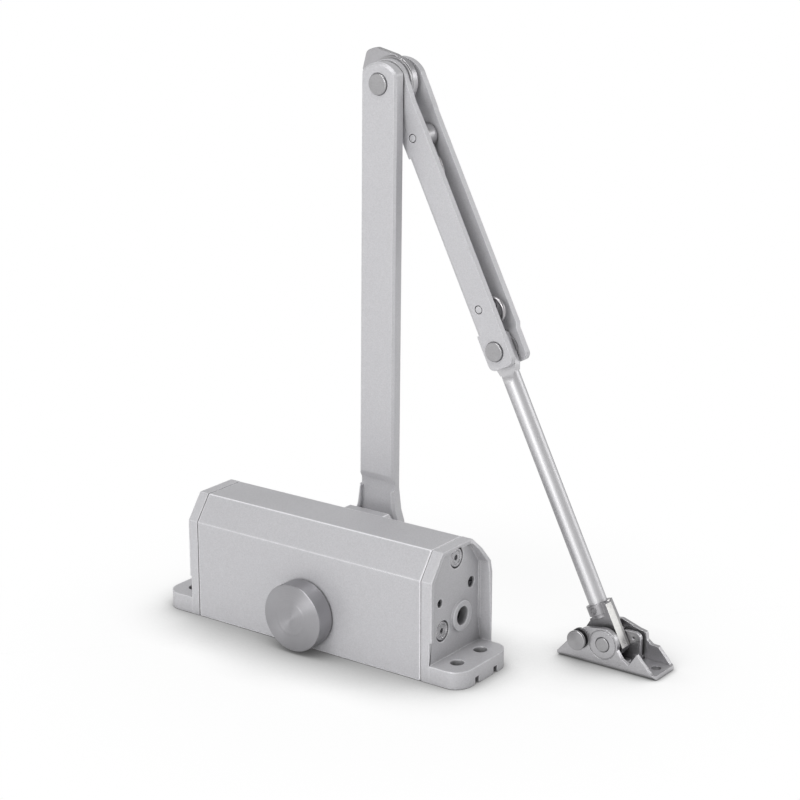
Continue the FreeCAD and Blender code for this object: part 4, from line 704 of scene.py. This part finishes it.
class Bench:
    """Makes pieces, dresses CAD nodes and sets both on their bodies."""

    weld = 2e-6
    reshaped_weld = 2e-5
    shortest_edge = 1e-6
    flat_angle = 0.4
    bevel_angle = 40.0
    bevel_steps = 3
    sharp_copy = 34.0
    sharp_turned = 24.0
    sharp_rule = 32.0
    flat_weight = 80
    turned_steps = 144
    on_cylinder = 0.05
    radial_match = 0.9
    facing_match = 0.985
    ring_wire = 0.24

    def __init__(self) -> None:
        """Reads each node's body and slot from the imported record."""
        record = frame["record"]
        self.bodies = {n: b for b, ns in record["behaviour"]["bodies"].items() for n in ns}
        self.slots = {row["node"]: row["material_slot"] for row in record["subparts"]}

    @staticmethod
    @cache
    def finish_of(finish: Any) -> bpy.types.Material:
        """The material of a finish, built once."""
        return finish.material()

    def paint_node(self, node: str, finish: Any) -> None:
        """Gives a CAD node that stays shown a finish.

        Args:
            node: The node's name.
            finish: Its finish.
        """
        shown = frame["nodes"][node]
        shown.data.materials.clear()
        shown.data.materials.append(self.finish_of(finish))
        LOG.info("node %s keeps its shape, finish %s", node, finish.name)

    def place(self, piece: Piece, node: str, *others: str) -> Piece:
        """Sets a piece on the body of the node that it stands for.

        Args:
            piece: The finished piece.
            node: The node that it replaces.
            others: More nodes that it replaces.

        Returns:
            The piece.
        """
        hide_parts(node, *others)
        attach(piece, self.bodies[node])
        LOG.info("piece %s rides on %s, %d faces", piece.name, self.bodies[node], len(piece.data.polygons))
        return piece

    def merged_copy(self, node: str, name: str, reshape: Reshape = None) -> Piece:
        """A closed copy of a node's triangles, with flat areas joined.

        Args:
            node: The node to copy.
            name: The copy's name.
            reshape: Moves some of the copy's points, or None.

        Returns:
            The new object.
        """
        work = bmesh.new()
        work.from_mesh(frame["nodes"][node].data)
        for layer in list(work.loops.layers.uv.values()):
            work.loops.layers.uv.remove(layer)
        bmesh.ops.remove_doubles(work, verts=work.verts, dist=self.weld)
        if reshape is not None:
            reshape(work)
            bmesh.ops.remove_doubles(work, verts=work.verts, dist=self.reshaped_weld)
        bmesh.ops.dissolve_degenerate(work, dist=self.shortest_edge, edges=work.edges)
        flat = math.radians(self.flat_angle)
        bmesh.ops.dissolve_limit(work, angle_limit=flat, verts=work.verts, edges=work.edges)
        mesh = meshed(work, name)
        for layer in ("custom_normal", "sharp_face", "sharp_edge"):
            if layer in mesh.attributes:
                mesh.attributes.remove(mesh.attributes[layer])
        return link(name, mesh)

    def softened(self, node: str, name: str, finish: Any, width: float = 0.0, reshape: Reshape = None) -> Piece:
        """A node's shape with its sharp edges rounded over, in place of the node.

        Args:
            node: The node to stand for.
            name: The piece's name.
            finish: Its finish.
            width: Width of the rounding in millimetres, or 0 to leave it to the finish.
            reshape: Moves some of the shape's points, or None.

        Returns:
            The piece.
        """
        made = self.merged_copy(node, name, reshape)
        for _ in ("faces", "rounded edges"):
            made.data.materials.append(self.finish_of(finish))
        if width > 0:
            round_over = made.modifiers.new("round_over", "BEVEL")
            round_over.limit_method = "ANGLE"
            round_over.angle_limit = math.radians(self.bevel_angle)
            round_over.width = width * MM
            round_over.segments = self.bevel_steps
            round_over.use_clamp_overlap = False
            round_over.material = 1
            self.apply(made)
        self.mark_edges(made)
        self.smooth(made, self.sharp_copy)
        return self.place(made, node)

    def smooth(self, made: Piece, angle: float) -> None:
        """Shades a piece smoothly between its sharp edges, with its flat faces kept flat.

        Args:
            made: The piece.
            angle: Edges sharper than this many degrees stay sharp.
        """
        made.data.shade_smooth()
        made.data.set_sharp_from_angle(angle=math.radians(angle))
        level = made.modifiers.new("flat_faces", "WEIGHTED_NORMAL")
        level.keep_sharp = True
        level.weight = self.flat_weight
        self.apply(made)

    def turned(self, node: str, name: str, finish: Any, centre: Place, profile: list[tuple[float, float]]) -> Piece:
        """A turned piece about an axis along Y, in place of a node.

        Args:
            node: The node to stand for.
            name: The piece's name.
            finish: Its finish.
            centre: A point on its axis in millimetres.
            profile: Radius and Y of each step, from the rear centre round to the front centre.

        Returns:
            The piece.
        """
        count = self.turned_steps
        work = bmesh.new()
        rings = []
        for radius, y in profile:
            turns = [2 * math.pi * i / count for i in range(count if radius else 1)]
            spots = [(centre[0] + radius * math.cos(t), y, centre[2] + radius * math.sin(t)) for t in turns]
            rings.append([work.verts.new(tuple(v * MM for v in spot)) for spot in spots])
        for first, second in zip(rings, rings[1:]):
            for i in range(count):
                j = (i + 1) % count
                corners = [(first, i), (first, j), (second, j), (second, i)]
                work.faces.new(list(dict.fromkeys(ring[k % len(ring)] for ring, k in corners)))
        bmesh.ops.recalc_face_normals(work, faces=work.faces)
        made = link(name, meshed(work, name))
        made.data.materials.append(self.finish_of(finish))
        self.smooth(made, self.sharp_turned)
        return self.place(made, node)

    def round_shading(self, piece: Piece, point: Vector, along: Vector, radius: float) -> None:
        """Shades the round faces about an axis as a true cylinder.

        Args:
            piece: The piece.
            point: A point on the axis.
            along: The axis.
            radius: The cylinder's radius.
        """
        mesh = piece.data
        normals = [Vector(corner.vector) for corner in mesh.corner_normals]
        for face in mesh.polygons:
            for corner in face.loop_indices:
                arm = mesh.vertices[mesh.loops[corner].vertex_index].co - point
                radial = arm - along * arm.dot(along)
                outward = radial.normalized()
                round_here = abs(radial.length - radius) < self.on_cylinder * MM
                if round_here and outward.dot(face.normal) > self.radial_match:
                    normals[corner] = outward
        mesh.normals_split_custom_set(normals)

    def face_finish(self, piece: Piece, finish: Any, facing: Vector) -> None:
        """Gives the flat faces that look one way a finish of their own.

        Args:
            piece: The piece.
            finish: The finish of those faces.
            facing: The way that they look.
        """
        piece.data.materials.append(self.finish_of(finish))
        for face in piece.data.polygons:
            if face.normal.dot(facing) > self.facing_match:
                face.material_index = len(piece.data.materials) - 1

    def painted_shade_ring(self, node: str, at: Place, radius: float, finish: Any) -> None:
        """A thin dark ring of painted shade round the foot of a riveted head.

        Args:
            node: The pin that it goes round and moves with.
            at: The centre of the head's foot in millimetres.
            radius: The head's radius in millimetres.
            finish: The ring's finish.
        """
        sizes = {"Ring radius": radius * MM, "Wire radius": self.ring_wire * MM, "Turn": (QUARTER, 0.0, 0.0)}
        ring = self.by_rule(f"{node}_foot", [at], Rules.foot_rings(), finish, sizes)
        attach(ring, self.bodies[node])
        LOG.info("piece %s goes round %s", ring.name, node)

    @staticmethod
    def apply(made: Piece) -> None:
        """Turns an object's evaluated modifiers into its plain mesh.

        Args:
            made: The object.
        """
        bpy.context.view_layer.update()
        evaluated = made.evaluated_get(bpy.context.evaluated_depsgraph_get())
        plain = bpy.data.meshes.new_from_object(evaluated)
        made.modifiers.clear()
        made.data = plain

    @staticmethod
    def mark_edges(made: Piece) -> None:
        """Keeps where the rounded edges are as an attribute, and leaves one material slot.

        Args:
            made: The object, whose rounded faces have the second slot.
        """
        mesh = made.data
        layer = mesh.attributes.new("soft_edge", "FLOAT", "CORNER")
        for face in mesh.polygons:
            for corner in face.loop_indices:
                layer.data[corner].value = float(face.material_index == 1)
            face.material_index = 0
        while len(mesh.materials) > 1:
            mesh.materials.pop()

    def by_rule(self, name: str, spots: list[Place], tree: Tree, finish: Any, sizes: Sizes) -> Piece:
        """A plain mesh made by a Geometry Nodes tree at some points.

        Args:
            name: The piece's name.
            spots: The points in millimetres.
            tree: The tree.
            finish: The finish that the tree sets.
            sizes: Values of the tree's inputs by name.

        Returns:
            The object, with the modifier gone.
        """
        mesh = bpy.data.meshes.new(name)
        mesh.from_pydata([tuple(v * MM for v in spot) for spot in spots], [], [])
        made = link(name, mesh)
        rule = made.modifiers.new("rule", "NODES")
        rule.node_group = tree
        rows = [s for s in tree.interface.items_tree if s.item_type == "SOCKET" and s.in_out == "INPUT"]
        names = {s.name: s.identifier for s in rows}
        for key, value in {**sizes, "Material": self.finish_of(finish)}.items():
            rule[names[key]] = value
        self.apply(made)
        made.data.shade_smooth()
        made.data.set_sharp_from_angle(angle=math.radians(self.sharp_rule))
        return made

    def joined(self, pieces: list[Piece], name: str) -> Piece:
        """Joins several pieces of one body and finish into one mesh.

        Args:
            pieces: The pieces, which are removed.
            name: The new piece's name.

        Returns:
            The joined piece.
        """
        work = bmesh.new()
        for piece in pieces:
            work.from_mesh(piece.data)
        made = link(name, meshed(work, name))
        for material in pieces[0].data.materials:
            made.data.materials.append(material)
        for piece in pieces:
            bpy.data.objects.remove(piece)
        return made


@dataclass
class Palette:
    """Every finish on the closer."""

    body: SilverPaint = SilverPaint(
        "silver_paint_body", (0.505, 0.502, 0.52), rounding=1.5, edge_highlight=1.3, edge_gain=1.65
    )
    cover: SilverPaint = SilverPaint(
        "silver_paint_cover",
        (0.53, 0.527, 0.545),
        rounding=1.1,
        edge_highlight=0.9,
        painted_shade=0.6,
        reach=1.6,
        start=0.5,
        edge_gain=1.5,
        hollow=0.5,
    )
    arm: SilverPaint = SilverPaint(
        "silver_paint_arm", (0.525, 0.522, 0.54), edge_highlight=0.8, painted_shade=0.8, reach=2.0, start=0.2, edge_gain=1.4
    )
    cap: WorkedMetal = WorkedMetal(
        "cap_satin",
        (0.37, 0.366, 0.382),
        Marks.TURNED,
        roughness=0.40,
        metallic=0.9,
        centre=(0.0, 0.0, 18.3),
        contrast=0.16,
        density=2200.0,
        brushed=0.75,
    )
    rod: WorkedMetal = WorkedMetal(
        "bright_drawn_steel",
        (0.60, 0.596, 0.61),
        Marks.DRAWN,
        roughness=0.46,
        metallic=0.8,
        axis=Axis.Z,
        tilt=-26.4,
        relief=0.0,
        contrast=0.06,
        density=1500.0,
        rounding=0.0,
        painted_shade=0.0,
        edge_tint=0.3,
    )
    pin: WorkedMetal = WorkedMetal(
        "plated_pin_steel", (0.40, 0.396, 0.405), Marks.TUMBLED, roughness=0.34, contrast=0.22
    )
    cam: WorkedMetal = WorkedMetal("plated_cam_steel", (0.46, 0.455, 0.47), Marks.TUMBLED, roughness=0.34)
    shoe: WorkedMetal = WorkedMetal(
        "plated_shoe_steel", (0.50, 0.495, 0.51), Marks.TUMBLED, roughness=0.32, contrast=0.2
    )
    adaptor: WorkedMetal = WorkedMetal(
        "cast_adaptor_steel", (0.30, 0.295, 0.305), Marks.CAST, roughness=0.38, contrast=0.25
    )
    ground: WorkedMetal = WorkedMetal(
        "ground_adaptor_side", (0.72, 0.715, 0.70), Marks.TUMBLED, roughness=0.32, contrast=0.2, machined_to=53.2
    )
    spring: WorkedMetal = WorkedMetal("spring_wire", (0.42, 0.41, 0.42), Marks.TUMBLED, density=5000.0)
    screw: WorkedMetal = WorkedMetal("screw_steel", (0.48, 0.475, 0.49), Marks.TUMBLED, roughness=0.26)
    dark: WorkedMetal = WorkedMetal("dark_steel", (0.10, 0.10, 0.105), Marks.TUMBLED, roughness=0.42, contrast=0.3)
    brass: WorkedMetal = WorkedMetal("valve_brass", (0.50, 0.36, 0.14), Marks.TUMBLED, roughness=0.36)
    bronze: WorkedMetal = WorkedMetal("bearing_bronze", (0.42, 0.28, 0.14), Marks.TUMBLED, roughness=0.45)
    rubber: SoftStuff = SoftStuff("black_rubber", (0.02, 0.02, 0.02))
    gasket: SoftStuff = SoftStuff("gasket_sheet", (0.27, 0.265, 0.26))


@dataclass
class Assembly:
    """A sub-assembly of the closer, with the bench and the finishes that dress it."""

    bench: Bench
    palette: Palette


@dataclass
class Housing(Assembly):
    """Painted body, its two end covers, their screws, the cap and what is inside."""

    round_body: float = 0.35
    cap_radius: float = 16.8
    cap_back: float = -21.4
    cap_rim: float = -31.6
    cap_cone: float = 0.9
    cap_cone_power: float = 1.35
    cap_shoulder: float = 0.2
    cap_centre: float = 8.6
    cap_centre_foot: float = 0.5
    cap_centre_edge: float = 0.75
    cap_centre_ease: float = 0.04
    cap_corner: float = 0.45
    cap_neck: float = 1.6
    cap_gap: float = 0.5
    spindle_z: float = 18.3
    cover_face: float = 73.1
    flange_half: float = 19.5
    flange_corner: float = 8.0
    flange_thick: float = 8.5
    flange_overlap: float = 1.5
    body_half: float = 21.0
    step_inner: float = -19.0
    step_before: float = 1.0
    step_past: float = 1.1
    rim_start: float = 20.0
    screw_recess: float = 2.3
    head_radius: float = 4.7
    head_height: float = 2.1
    top_screw: tuple[float, float] = (1.0, 55.6)
    low_right: tuple[float, float] = (-10.4, 22.6)
    low_left: tuple[float, float] = (-15.0, 22.6)
    spring_start: float = 18.75
    spring_end: float = 55.25
    spring_mean: float = 10.0
    spring_wire: float = 2.8
    spring_turns: float = 4.0
    bore_y: float = 4.0
    bore_z: float = 26.0

    def build(self) -> None:
        """Dresses the housing."""
        bench, palette = self.bench, self.palette
        bench.softened("closer_body", "painted_body", palette.body, self.round_body)
        for side in ("right", "left"):
            bench.softened(f"{side}_cover", f"{side}_end_cover", palette.cover, reshape=self.flush_flange)
        self.cap()
        self.screws()
        self.inside()

    def flush_flange(self, work: bmesh.types.BMesh) -> None:
        """Brings the sides of a cover's flange out flush with the cover's own sides, and fills the step beside it.

        Args:
            work: The cover's mesh.
        """
        near, loose = 0.01, 0.1
        straight = self.flange_half - self.flange_corner
        for point in work.verts:
            x, y, z = (v / MM for v in point.co)
            past_face = abs(x) - self.cover_face
            on_flange = z < self.flange_thick + near
            on_corner = straight < abs(y) < self.flange_half + near
            if past_face > -self.flange_overlap and on_flange and on_corner:
                share = (abs(y) - straight) / self.flange_corner
                point.co.y += math.copysign((self.body_half - self.flange_half) * share * MM, y)
            if y < self.step_inner + loose and past_face < self.step_past:
                if on_flange and past_face > -self.step_before:
                    point.co.y = -self.body_half * MM
                if z < self.rim_start + near and -self.step_before < past_face < 0.0:
                    point.co.x = math.copysign(self.cover_face * MM, x)

    def cap(self) -> None:
        """Turns the front cap, with its rounded rim, shallow cone and flat centre."""
        bench, palette = self.bench, self.palette
        edge, rim = self.cap_corner, self.cap_rim
        neck, behind = self.cap_radius - self.cap_neck, self.cap_back - self.cap_gap
        profile = [(0.0, self.cap_back), (neck, self.cap_back), (neck, behind)]
        profile += [(self.cap_radius - edge / 2, behind), (self.cap_radius, behind - edge / 2)]
        corner_steps, cone_steps = 6, 8
        for i in range(corner_steps + 1):
            turn = QUARTER * i / corner_steps
            profile.append((self.cap_radius - edge * (1 - math.cos(turn)), rim + edge * (1 - math.sin(turn))))
        inner = self.cap_radius - edge
        for i in range(1, cone_steps + 1):
            share = i / cone_steps
            rise = self.cap_cone * (1 - (1 - share) ** self.cap_cone_power)
            profile.append((inner - (inner - self.cap_centre) * share, rim - rise))
        face = rim - self.cap_cone - self.cap_shoulder
        profile.append((self.cap_centre - self.cap_centre_foot, face + self.cap_centre_ease))
        profile += [(self.cap_centre - self.cap_centre_edge, face), (0.0, face)]
        bench.turned("spindle_cap", "front_cap", palette.cap, (0.0, 0.0, self.spindle_z), profile)

    def screws(self) -> None:
        """Makes the cover screws."""
        bench, palette = self.bench, self.palette
        seat = self.cover_face - self.screw_recess
        sizes = {"Head radius": self.head_radius * MM, "Head height": self.head_height * MM}
        made = []
        for side, low in ((1.0, self.low_right), (-1.0, self.low_left)):
            spots = [(side * seat, y, z) for y, z in (self.top_screw, low)]
            turned = {**sizes, "Turn": (0.0, side * QUARTER, 0.0)}
            made.append(bench.by_rule("cover_screws_side", spots, Rules.socket_screws(), palette.screw, turned))
        bench.place(bench.joined(made, "cover_screw_heads"), "cover_screws")

    def inside(self) -> None:
        """Dresses what the housing holds."""
        bench, palette = self.bench, self.palette
        sizes = {
            "Mean radius": self.spring_mean * MM,
            "Wire radius": self.spring_wire / 2 * MM,
            "Length": (self.spring_end - self.spring_start) * MM,
            "Turns": self.spring_turns,
            "Turn": (0.0, QUARTER, 0.0),
        }
        spot = (self.spring_start, self.bore_y, self.bore_z)
        coil = bench.by_rule("closing_spring_wire", [spot], Rules.wound_spring(), palette.spring, sizes)
        bench.place(coil, "closing_spring")
        finishes = {
            palette.dark: "end_plug spring_seat piston piston_ring seal_retainer"
            " power_adjuster closing_valve latching_valve",
            palette.bronze: "front_bearing rear_bearing",
            palette.rubber: "front_seal rear_seal end_plug_seal",
            palette.gasket: "right_gasket left_gasket",
            palette.brass: "check_valve",
        }
        for finish, nodes in finishes.items():
            for node in nodes.split():
                bench.paint_node(node, finish)


@dataclass
class MainArm(Assembly):
    """The flat arm with its foot, its screw and the pin, cam and washers of the elbow."""

    elbow: Place = (3.03, 34.5, 266.28)
    head_radius: float = 5.15

    def build(self) -> None:
        """Dresses the arm and the elbow."""
        bench, palette = self.bench, self.palette
        bench.softened("main_arm", "flat_arm", palette.arm)
        bench.softened("elbow_pin", "elbow_pin_riveted", palette.pin, 0.22)
        bench.painted_shade_ring("elbow_pin", self.elbow, self.head_radius, palette.dark)
        bench.softened("cam_plate", "hold_open_cam", palette.cam, 0.3)
        bench.softened("elbow_washers", "elbow_washer_pair", palette.pin, 0.12)
        bench.softened("arm_washer", "arm_foot_washer", palette.pin, 0.15)
        bench.paint_node("elbow_spacer", palette.pin)
        bench.paint_node("arm_screw", palette.screw)
        bench.paint_node("pinion_spindle", palette.dark)


@dataclass
class Forearm(Assembly):
    """The folded channel with its rivets, lever, spring and lower pin."""

    tilt: float = 26.4
    elbow: Place = (3.0298, 0.0, 266.2815)
    detent_at: float = 28.7
    anchor_at: float = 115.4
    knee_at: float = 136.6
    rivet_radius: float = 1.75
    rivet_proud: float = 0.15
    rivet_dome: float = 1.4
    near_wall: float = 44.4
    back: float = 60.4
    knee_head: float = 4.75
    far_flange: float = 52.7
    open_side: float = 7.0
    edge_stops: tuple[tuple[float, float], ...] = ((-9.0, 0.0), (0.0, 1.4), (8.6, 2.3), (18.0, 0.0))
    spring_span: tuple[float, float] = (53.0, 107.6)
    spring_ease: float = 3.0
    spring_across: float = 1.1
    spring_drawn_to: float = -1.5
    spring_narrowed: float = 0.3
    spring_level: float = 52.4

    def at(self, along: float, y: float) -> Place:
        """A point on the forearm's centre line.

        Args:
            along: Distance from the elbow in millimetres.
            y: Height through the linkage.

        Returns:
            The point in the part's frame.
        """
        lean = math.radians(self.tilt)
        return (self.elbow[0] + along * math.sin(lean), y, self.elbow[2] - along * math.cos(lean))

    def measured(self, spot: Vector) -> tuple[float, float]:
        """Where a point lies on the forearm.

        Args:
            spot: The point in metres.

        Returns:
            Its distance along the forearm from the elbow and across it towards the open side, in millimetres.
        """
        lean = math.radians(self.tilt)
        east, up = spot.x / MM - self.elbow[0], spot.z / MM - self.elbow[2]
        return east * math.sin(lean) - up * math.cos(lean), east * math.cos(lean) + up * math.sin(lean)

    def shift(self, point: bmesh.types.BMVert, across: float) -> None:
        """Moves a point across the forearm.

        Args:
            point: The point.
            across: How far towards the open side, in millimetres.
        """
        lean = math.radians(self.tilt)
        point.co.x += across * math.cos(lean) * MM
        point.co.z += across * math.sin(lean) * MM

    def straighten_far_edge(self, work: bmesh.types.BMesh) -> None:
        """Lets the far flange's open edge run on as one line past its sideways step.

        Args:
            work: The channel's mesh.
        """
        for point in work.verts:
            along, across = self.measured(point.co)
            if across > self.open_side and point.co.y > (self.far_flange - 0.5) * MM:
                for (low, first), (high, second) in zip(self.edge_stops, self.edge_stops[1:]):
                    if low <= along < high:
                        self.shift(point, first + (second - first) * (along - low) / (high - low))
                        break

    def draw_coil_in(self, work: bmesh.types.BMesh) -> None:
        """Holds the spring's coil close to the web, where the near flange hides it.

        Args:
            work: The spring's mesh.
        """
        (start, end), ease = self.spring_span, self.spring_ease
        for point in work.verts:
            along, across = self.measured(point.co)
            inside = min(1.0, max(0.0, (along - start + ease) / ease / 2), max(0.0, (end + ease - along) / ease / 2))
            share = inside * inside * (3.0 - 2.0 * inside)
            target = self.spring_drawn_to + (across - self.spring_across) * (1.0 - self.spring_narrowed)
            self.shift(point, (target - across) * share)
            level = point.co.y / MM - self.spring_level
            point.co.y -= level * self.spring_narrowed * share * MM

    def build(self) -> None:
        """Dresses the forearm."""
        bench, palette = self.bench, self.palette
        bench.softened("forearm_channel", "forearm_channel_folded", palette.arm, reshape=self.straighten_far_edge)
        bench.softened("knee_pin", "knee_pin_riveted", palette.pin, 0.22)
        bench.painted_shade_ring("knee_pin", self.at(self.knee_at, self.near_wall), self.knee_head, palette.dark)
        bench.softened("detent_lever", "detent_lever_plate", palette.pin, 0.2)
        bench.paint_node("knee_washers", palette.pin)
        bench.softened("extension_spring", "extension_spring_wire", palette.spring, reshape=self.draw_coil_in)
        middle = (self.near_wall + self.back) / 2
        sizes = {
            "Radius": self.rivet_radius * MM,
            "Length": (self.back - self.near_wall + 2 * self.rivet_proud) * MM,
            "Dome": self.rivet_proud * self.rivet_dome * MM,
            "Turn": (QUARTER, 0.0, 0.0),
        }
        spots = [self.at(self.detent_at, middle), self.at(self.anchor_at, middle)]
        rivets = bench.by_rule("forearm_rivet_pair", spots, Rules.domed_pins(), palette.arm, sizes)
        bench.place(rivets, "forearm_rivets")


@dataclass
class RodAndShoe(Assembly):
    """The adjusting rod, its adaptor and the stamped shoe with its pin and knob."""

    shoe_pin: Place = (127.805, 43.2, 11.1)
    head_radius: float = 3.55
    knob: Place = (114.905, 0.0, 11.1)
    adaptor_side: Place = (0.896, 0.0, 0.445)
    rod_radius: float = 4.5
    rod_lean: float = 26.4
    rod_point: Place = (1.507, 52.4, 265.526)

    def build(self) -> None:
        """Dresses the rod and the shoe."""
        bench, palette = self.bench, self.palette
        rod = bench.softened("adjusting_rod", "adjusting_rod_drawn", palette.rod)
        lean = math.radians(self.rod_lean)
        along = Vector((math.sin(lean), 0.0, -math.cos(lean)))
        bench.round_shading(rod, Vector(self.rod_point) * MM, along, self.rod_radius * MM)
        adaptor = bench.softened("rod_adaptor", "rod_adaptor_cast", palette.adaptor)
        bench.face_finish(adaptor, palette.ground, Vector(self.adaptor_side))
        bench.softened("shoe_bracket", "shoe_bracket_stamped", palette.shoe)
        bench.softened("shoe_pin", "shoe_pin_riveted", palette.pin, 0.2)
        bench.painted_shade_ring("shoe_pin", self.shoe_pin, self.head_radius, palette.dark)
        knob = replace(palette.pin, name="knob_steel", marks=Marks.TURNED, centre=self.knob, brushed=0.4)
        bench.softened("shoe_knob", "shoe_knob_turned", knob, 0.3)
        bench.softened("stop_plate", "shoe_stop_plate", palette.shoe, 0.25)
        bench.softened("floor_rivet", "shoe_floor_rivet", palette.pin, 0.2)
        bench.paint_node("shoe_washers", palette.pin)
        bench.paint_node("knob_bush", palette.dark)
        bench.paint_node("set_screw", palette.adaptor)


@dataclass
class Studio:
    """Camera, lamps, sky and floor."""

    camera_at: Place = (605.6, -771.4, 410.0)
    looks_along: Place = (-0.5663, 0.7737, -0.2840)
    lens: float = 96.6
    sensor: float = 36.0
    floor_below: float = 0.25
    floor_size: float = 40.0
    floor_white: float = 0.90
    shadow_reach: float = 42.0
    shadow_floor: float = 0.05
    shadow_depth: float = 1.7
    shadow_lift: float = 1.03
    shadow_fade: tuple[float, float] = (0.10, 0.22)
    clip: tuple[float, float] = (0.05, 20.0)
    sky_rise: tuple[tuple[float, float], ...] = ((-0.1, 0.9), (0.62, 0.70))
    sky_right: tuple[tuple[float, float], ...] = ((0.0, 0.9), (1.0, 0.66))
    sky_white: tuple[tuple[float, float], ...] = ((0.15, 0.45), (1.0, 0.0))
    lamps: tuple[tuple[str, Place, float, float], ...] = (
        ("key", (0.25, -2.0, 0.65), 0.9, 15.5),
        ("top", (0.12, -0.75, 1.8), 0.8, 12.5),
        ("back", (1.3, 1.2, 0.8), 0.7, 5.0),
    )

    def build(self) -> None:
        """Sets up the scene round the object."""
        self.camera()
        self.floor()
        self.sky()
        for row in self.lamps:
            self.lamp(*row)
        bpy.context.scene.view_settings.view_transform = "Standard"

    @staticmethod
    def aim(made: Piece, at: Place, way: Vector) -> None:
        """Puts a camera or lamp at a place in metres and turns it to look a way."""
        made.location = at
        made.rotation_euler = way.to_track_quat("-Z", "Y").to_euler()

    def camera(self) -> None:
        """Places the camera at the photograph's viewpoint."""
        data = bpy.data.cameras.new("photo_camera")
        data.lens, data.sensor_width = self.lens, self.sensor
        data.clip_start, data.clip_end = self.clip
        made = link("photo_camera", data)
        self.aim(made, tuple(v * MM for v in self.camera_at), Vector(self.looks_along))
        bpy.context.scene.camera = made

    def floor(self) -> None:
        """A plain pale floor: camera and glossy rays see a white glow with a painted shadow from ambient occlusion,
        mixed with a matt part that keeps the lamps' shadow.
        """
        mesh = bpy.data.meshes.new("studio_floor")
        half, level = self.floor_size / 2, -self.floor_below * MM
        corners = [(x * half, y * half, level) for x, y in ((-1, -1), (1, -1), (1, 1), (-1, 1))]
        mesh.from_pydata(corners, [], [(0, 1, 2, 3)])
        made = link("studio_floor", mesh)
        material = bpy.data.materials.new("studio_floor")
        material.use_nodes = True
        sheet = Sheet(material.node_tree)
        sheet.tree.nodes.clear()
        matt = sheet.node("ShaderNodeBsdfDiffuse", {"Color": tinted(WHITE[:3], self.floor_white)})
        spot = sheet.node("ShaderNodeTexCoord").outputs["Object"]
        middle = (*OBJECT_MIDDLE[:2], level)
        reach = sheet.vector("LENGTH", sheet.vector("SUBTRACT", spot, middle))
        # Painted shadow: the white glow darkens where ambient occlusion finds the object close.
        around = sheet.node("ShaderNodeAmbientOcclusion", {"Distance": self.shadow_reach * MM}, samples=16)
        lit = sheet.calc("POWER", sheet.times(around.outputs["AO"], self.shadow_lift, clamp=True), self.shadow_depth)
        shadow = sheet.plus(sheet.times(lit, 1.0 - self.shadow_floor), self.shadow_floor)
        glow = sheet.node("ShaderNodeEmission", {"Color": sheet.mix(shadow, BLACK, WHITE)})
        seen = sheet.times(sheet.clear_rays(), sheet.ramp(reach, self.shadow_fade, (self.floor_white, 1.0)))
        blend = sheet.node("ShaderNodeMixShader", {0: seen, 1: matt.outputs[0], 2: glow.outputs[0]})
        sheet.node("ShaderNodeOutputMaterial", {0: blend.outputs[0]})
        mesh.materials.append(material)

    def sky(self) -> None:
        """An even pale sky, dimmer on the right, white where the camera sees it."""
        world = bpy.data.worlds.new("studio_sky")
        bpy.context.scene.world = world
        world.use_nodes = True
        sheet = Sheet(world.node_tree)
        sheet.tree.nodes.clear()
        parts = sheet.split(sheet.node("ShaderNodeTexCoord").outputs["Generated"])
        level = sheet.times(sheet.ramp(parts["Z"], *self.sky_rise), sheet.ramp(parts["X"], *self.sky_right))
        seen = sheet.times(sheet.clear_rays(), sheet.ramp(parts["Z"], *self.sky_white))
        strength = sheet.plus(sheet.times(seen, sheet.minus(1.0, level)), level)
        light = sheet.node("ShaderNodeBackground", {"Strength": strength})
        sheet.node("ShaderNodeOutputWorld", {0: light.outputs[0]})

    def lamp(self, name: str, at: Place, size: float, power: float) -> None:
        """A soft square lamp aimed at the object.

        Args:
            name: The lamp's name.
            at: Its place in metres.
            size: Its side in metres.
            power: Its power in watts.
        """
        data = bpy.data.lights.new(name, "AREA")
        data.shape = "SQUARE"
        data.size, data.energy = size, power
        self.aim(link(name, data), at, Vector(OBJECT_MIDDLE) - Vector(at))


def main() -> None:
    """Builds the looks in order and notes each piece."""
    logging.basicConfig(level=logging.INFO, format="%(name)s: %(message)s")
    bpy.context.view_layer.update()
    bench, palette = Bench(), Palette()
    for assembly in (Housing, MainArm, Forearm, RodAndShoe):
        assembly(bench, palette).build()
        LOG.info("%s is dressed", assembly.__name__)
    Studio().build()


if __name__ == "__main__":
    main()
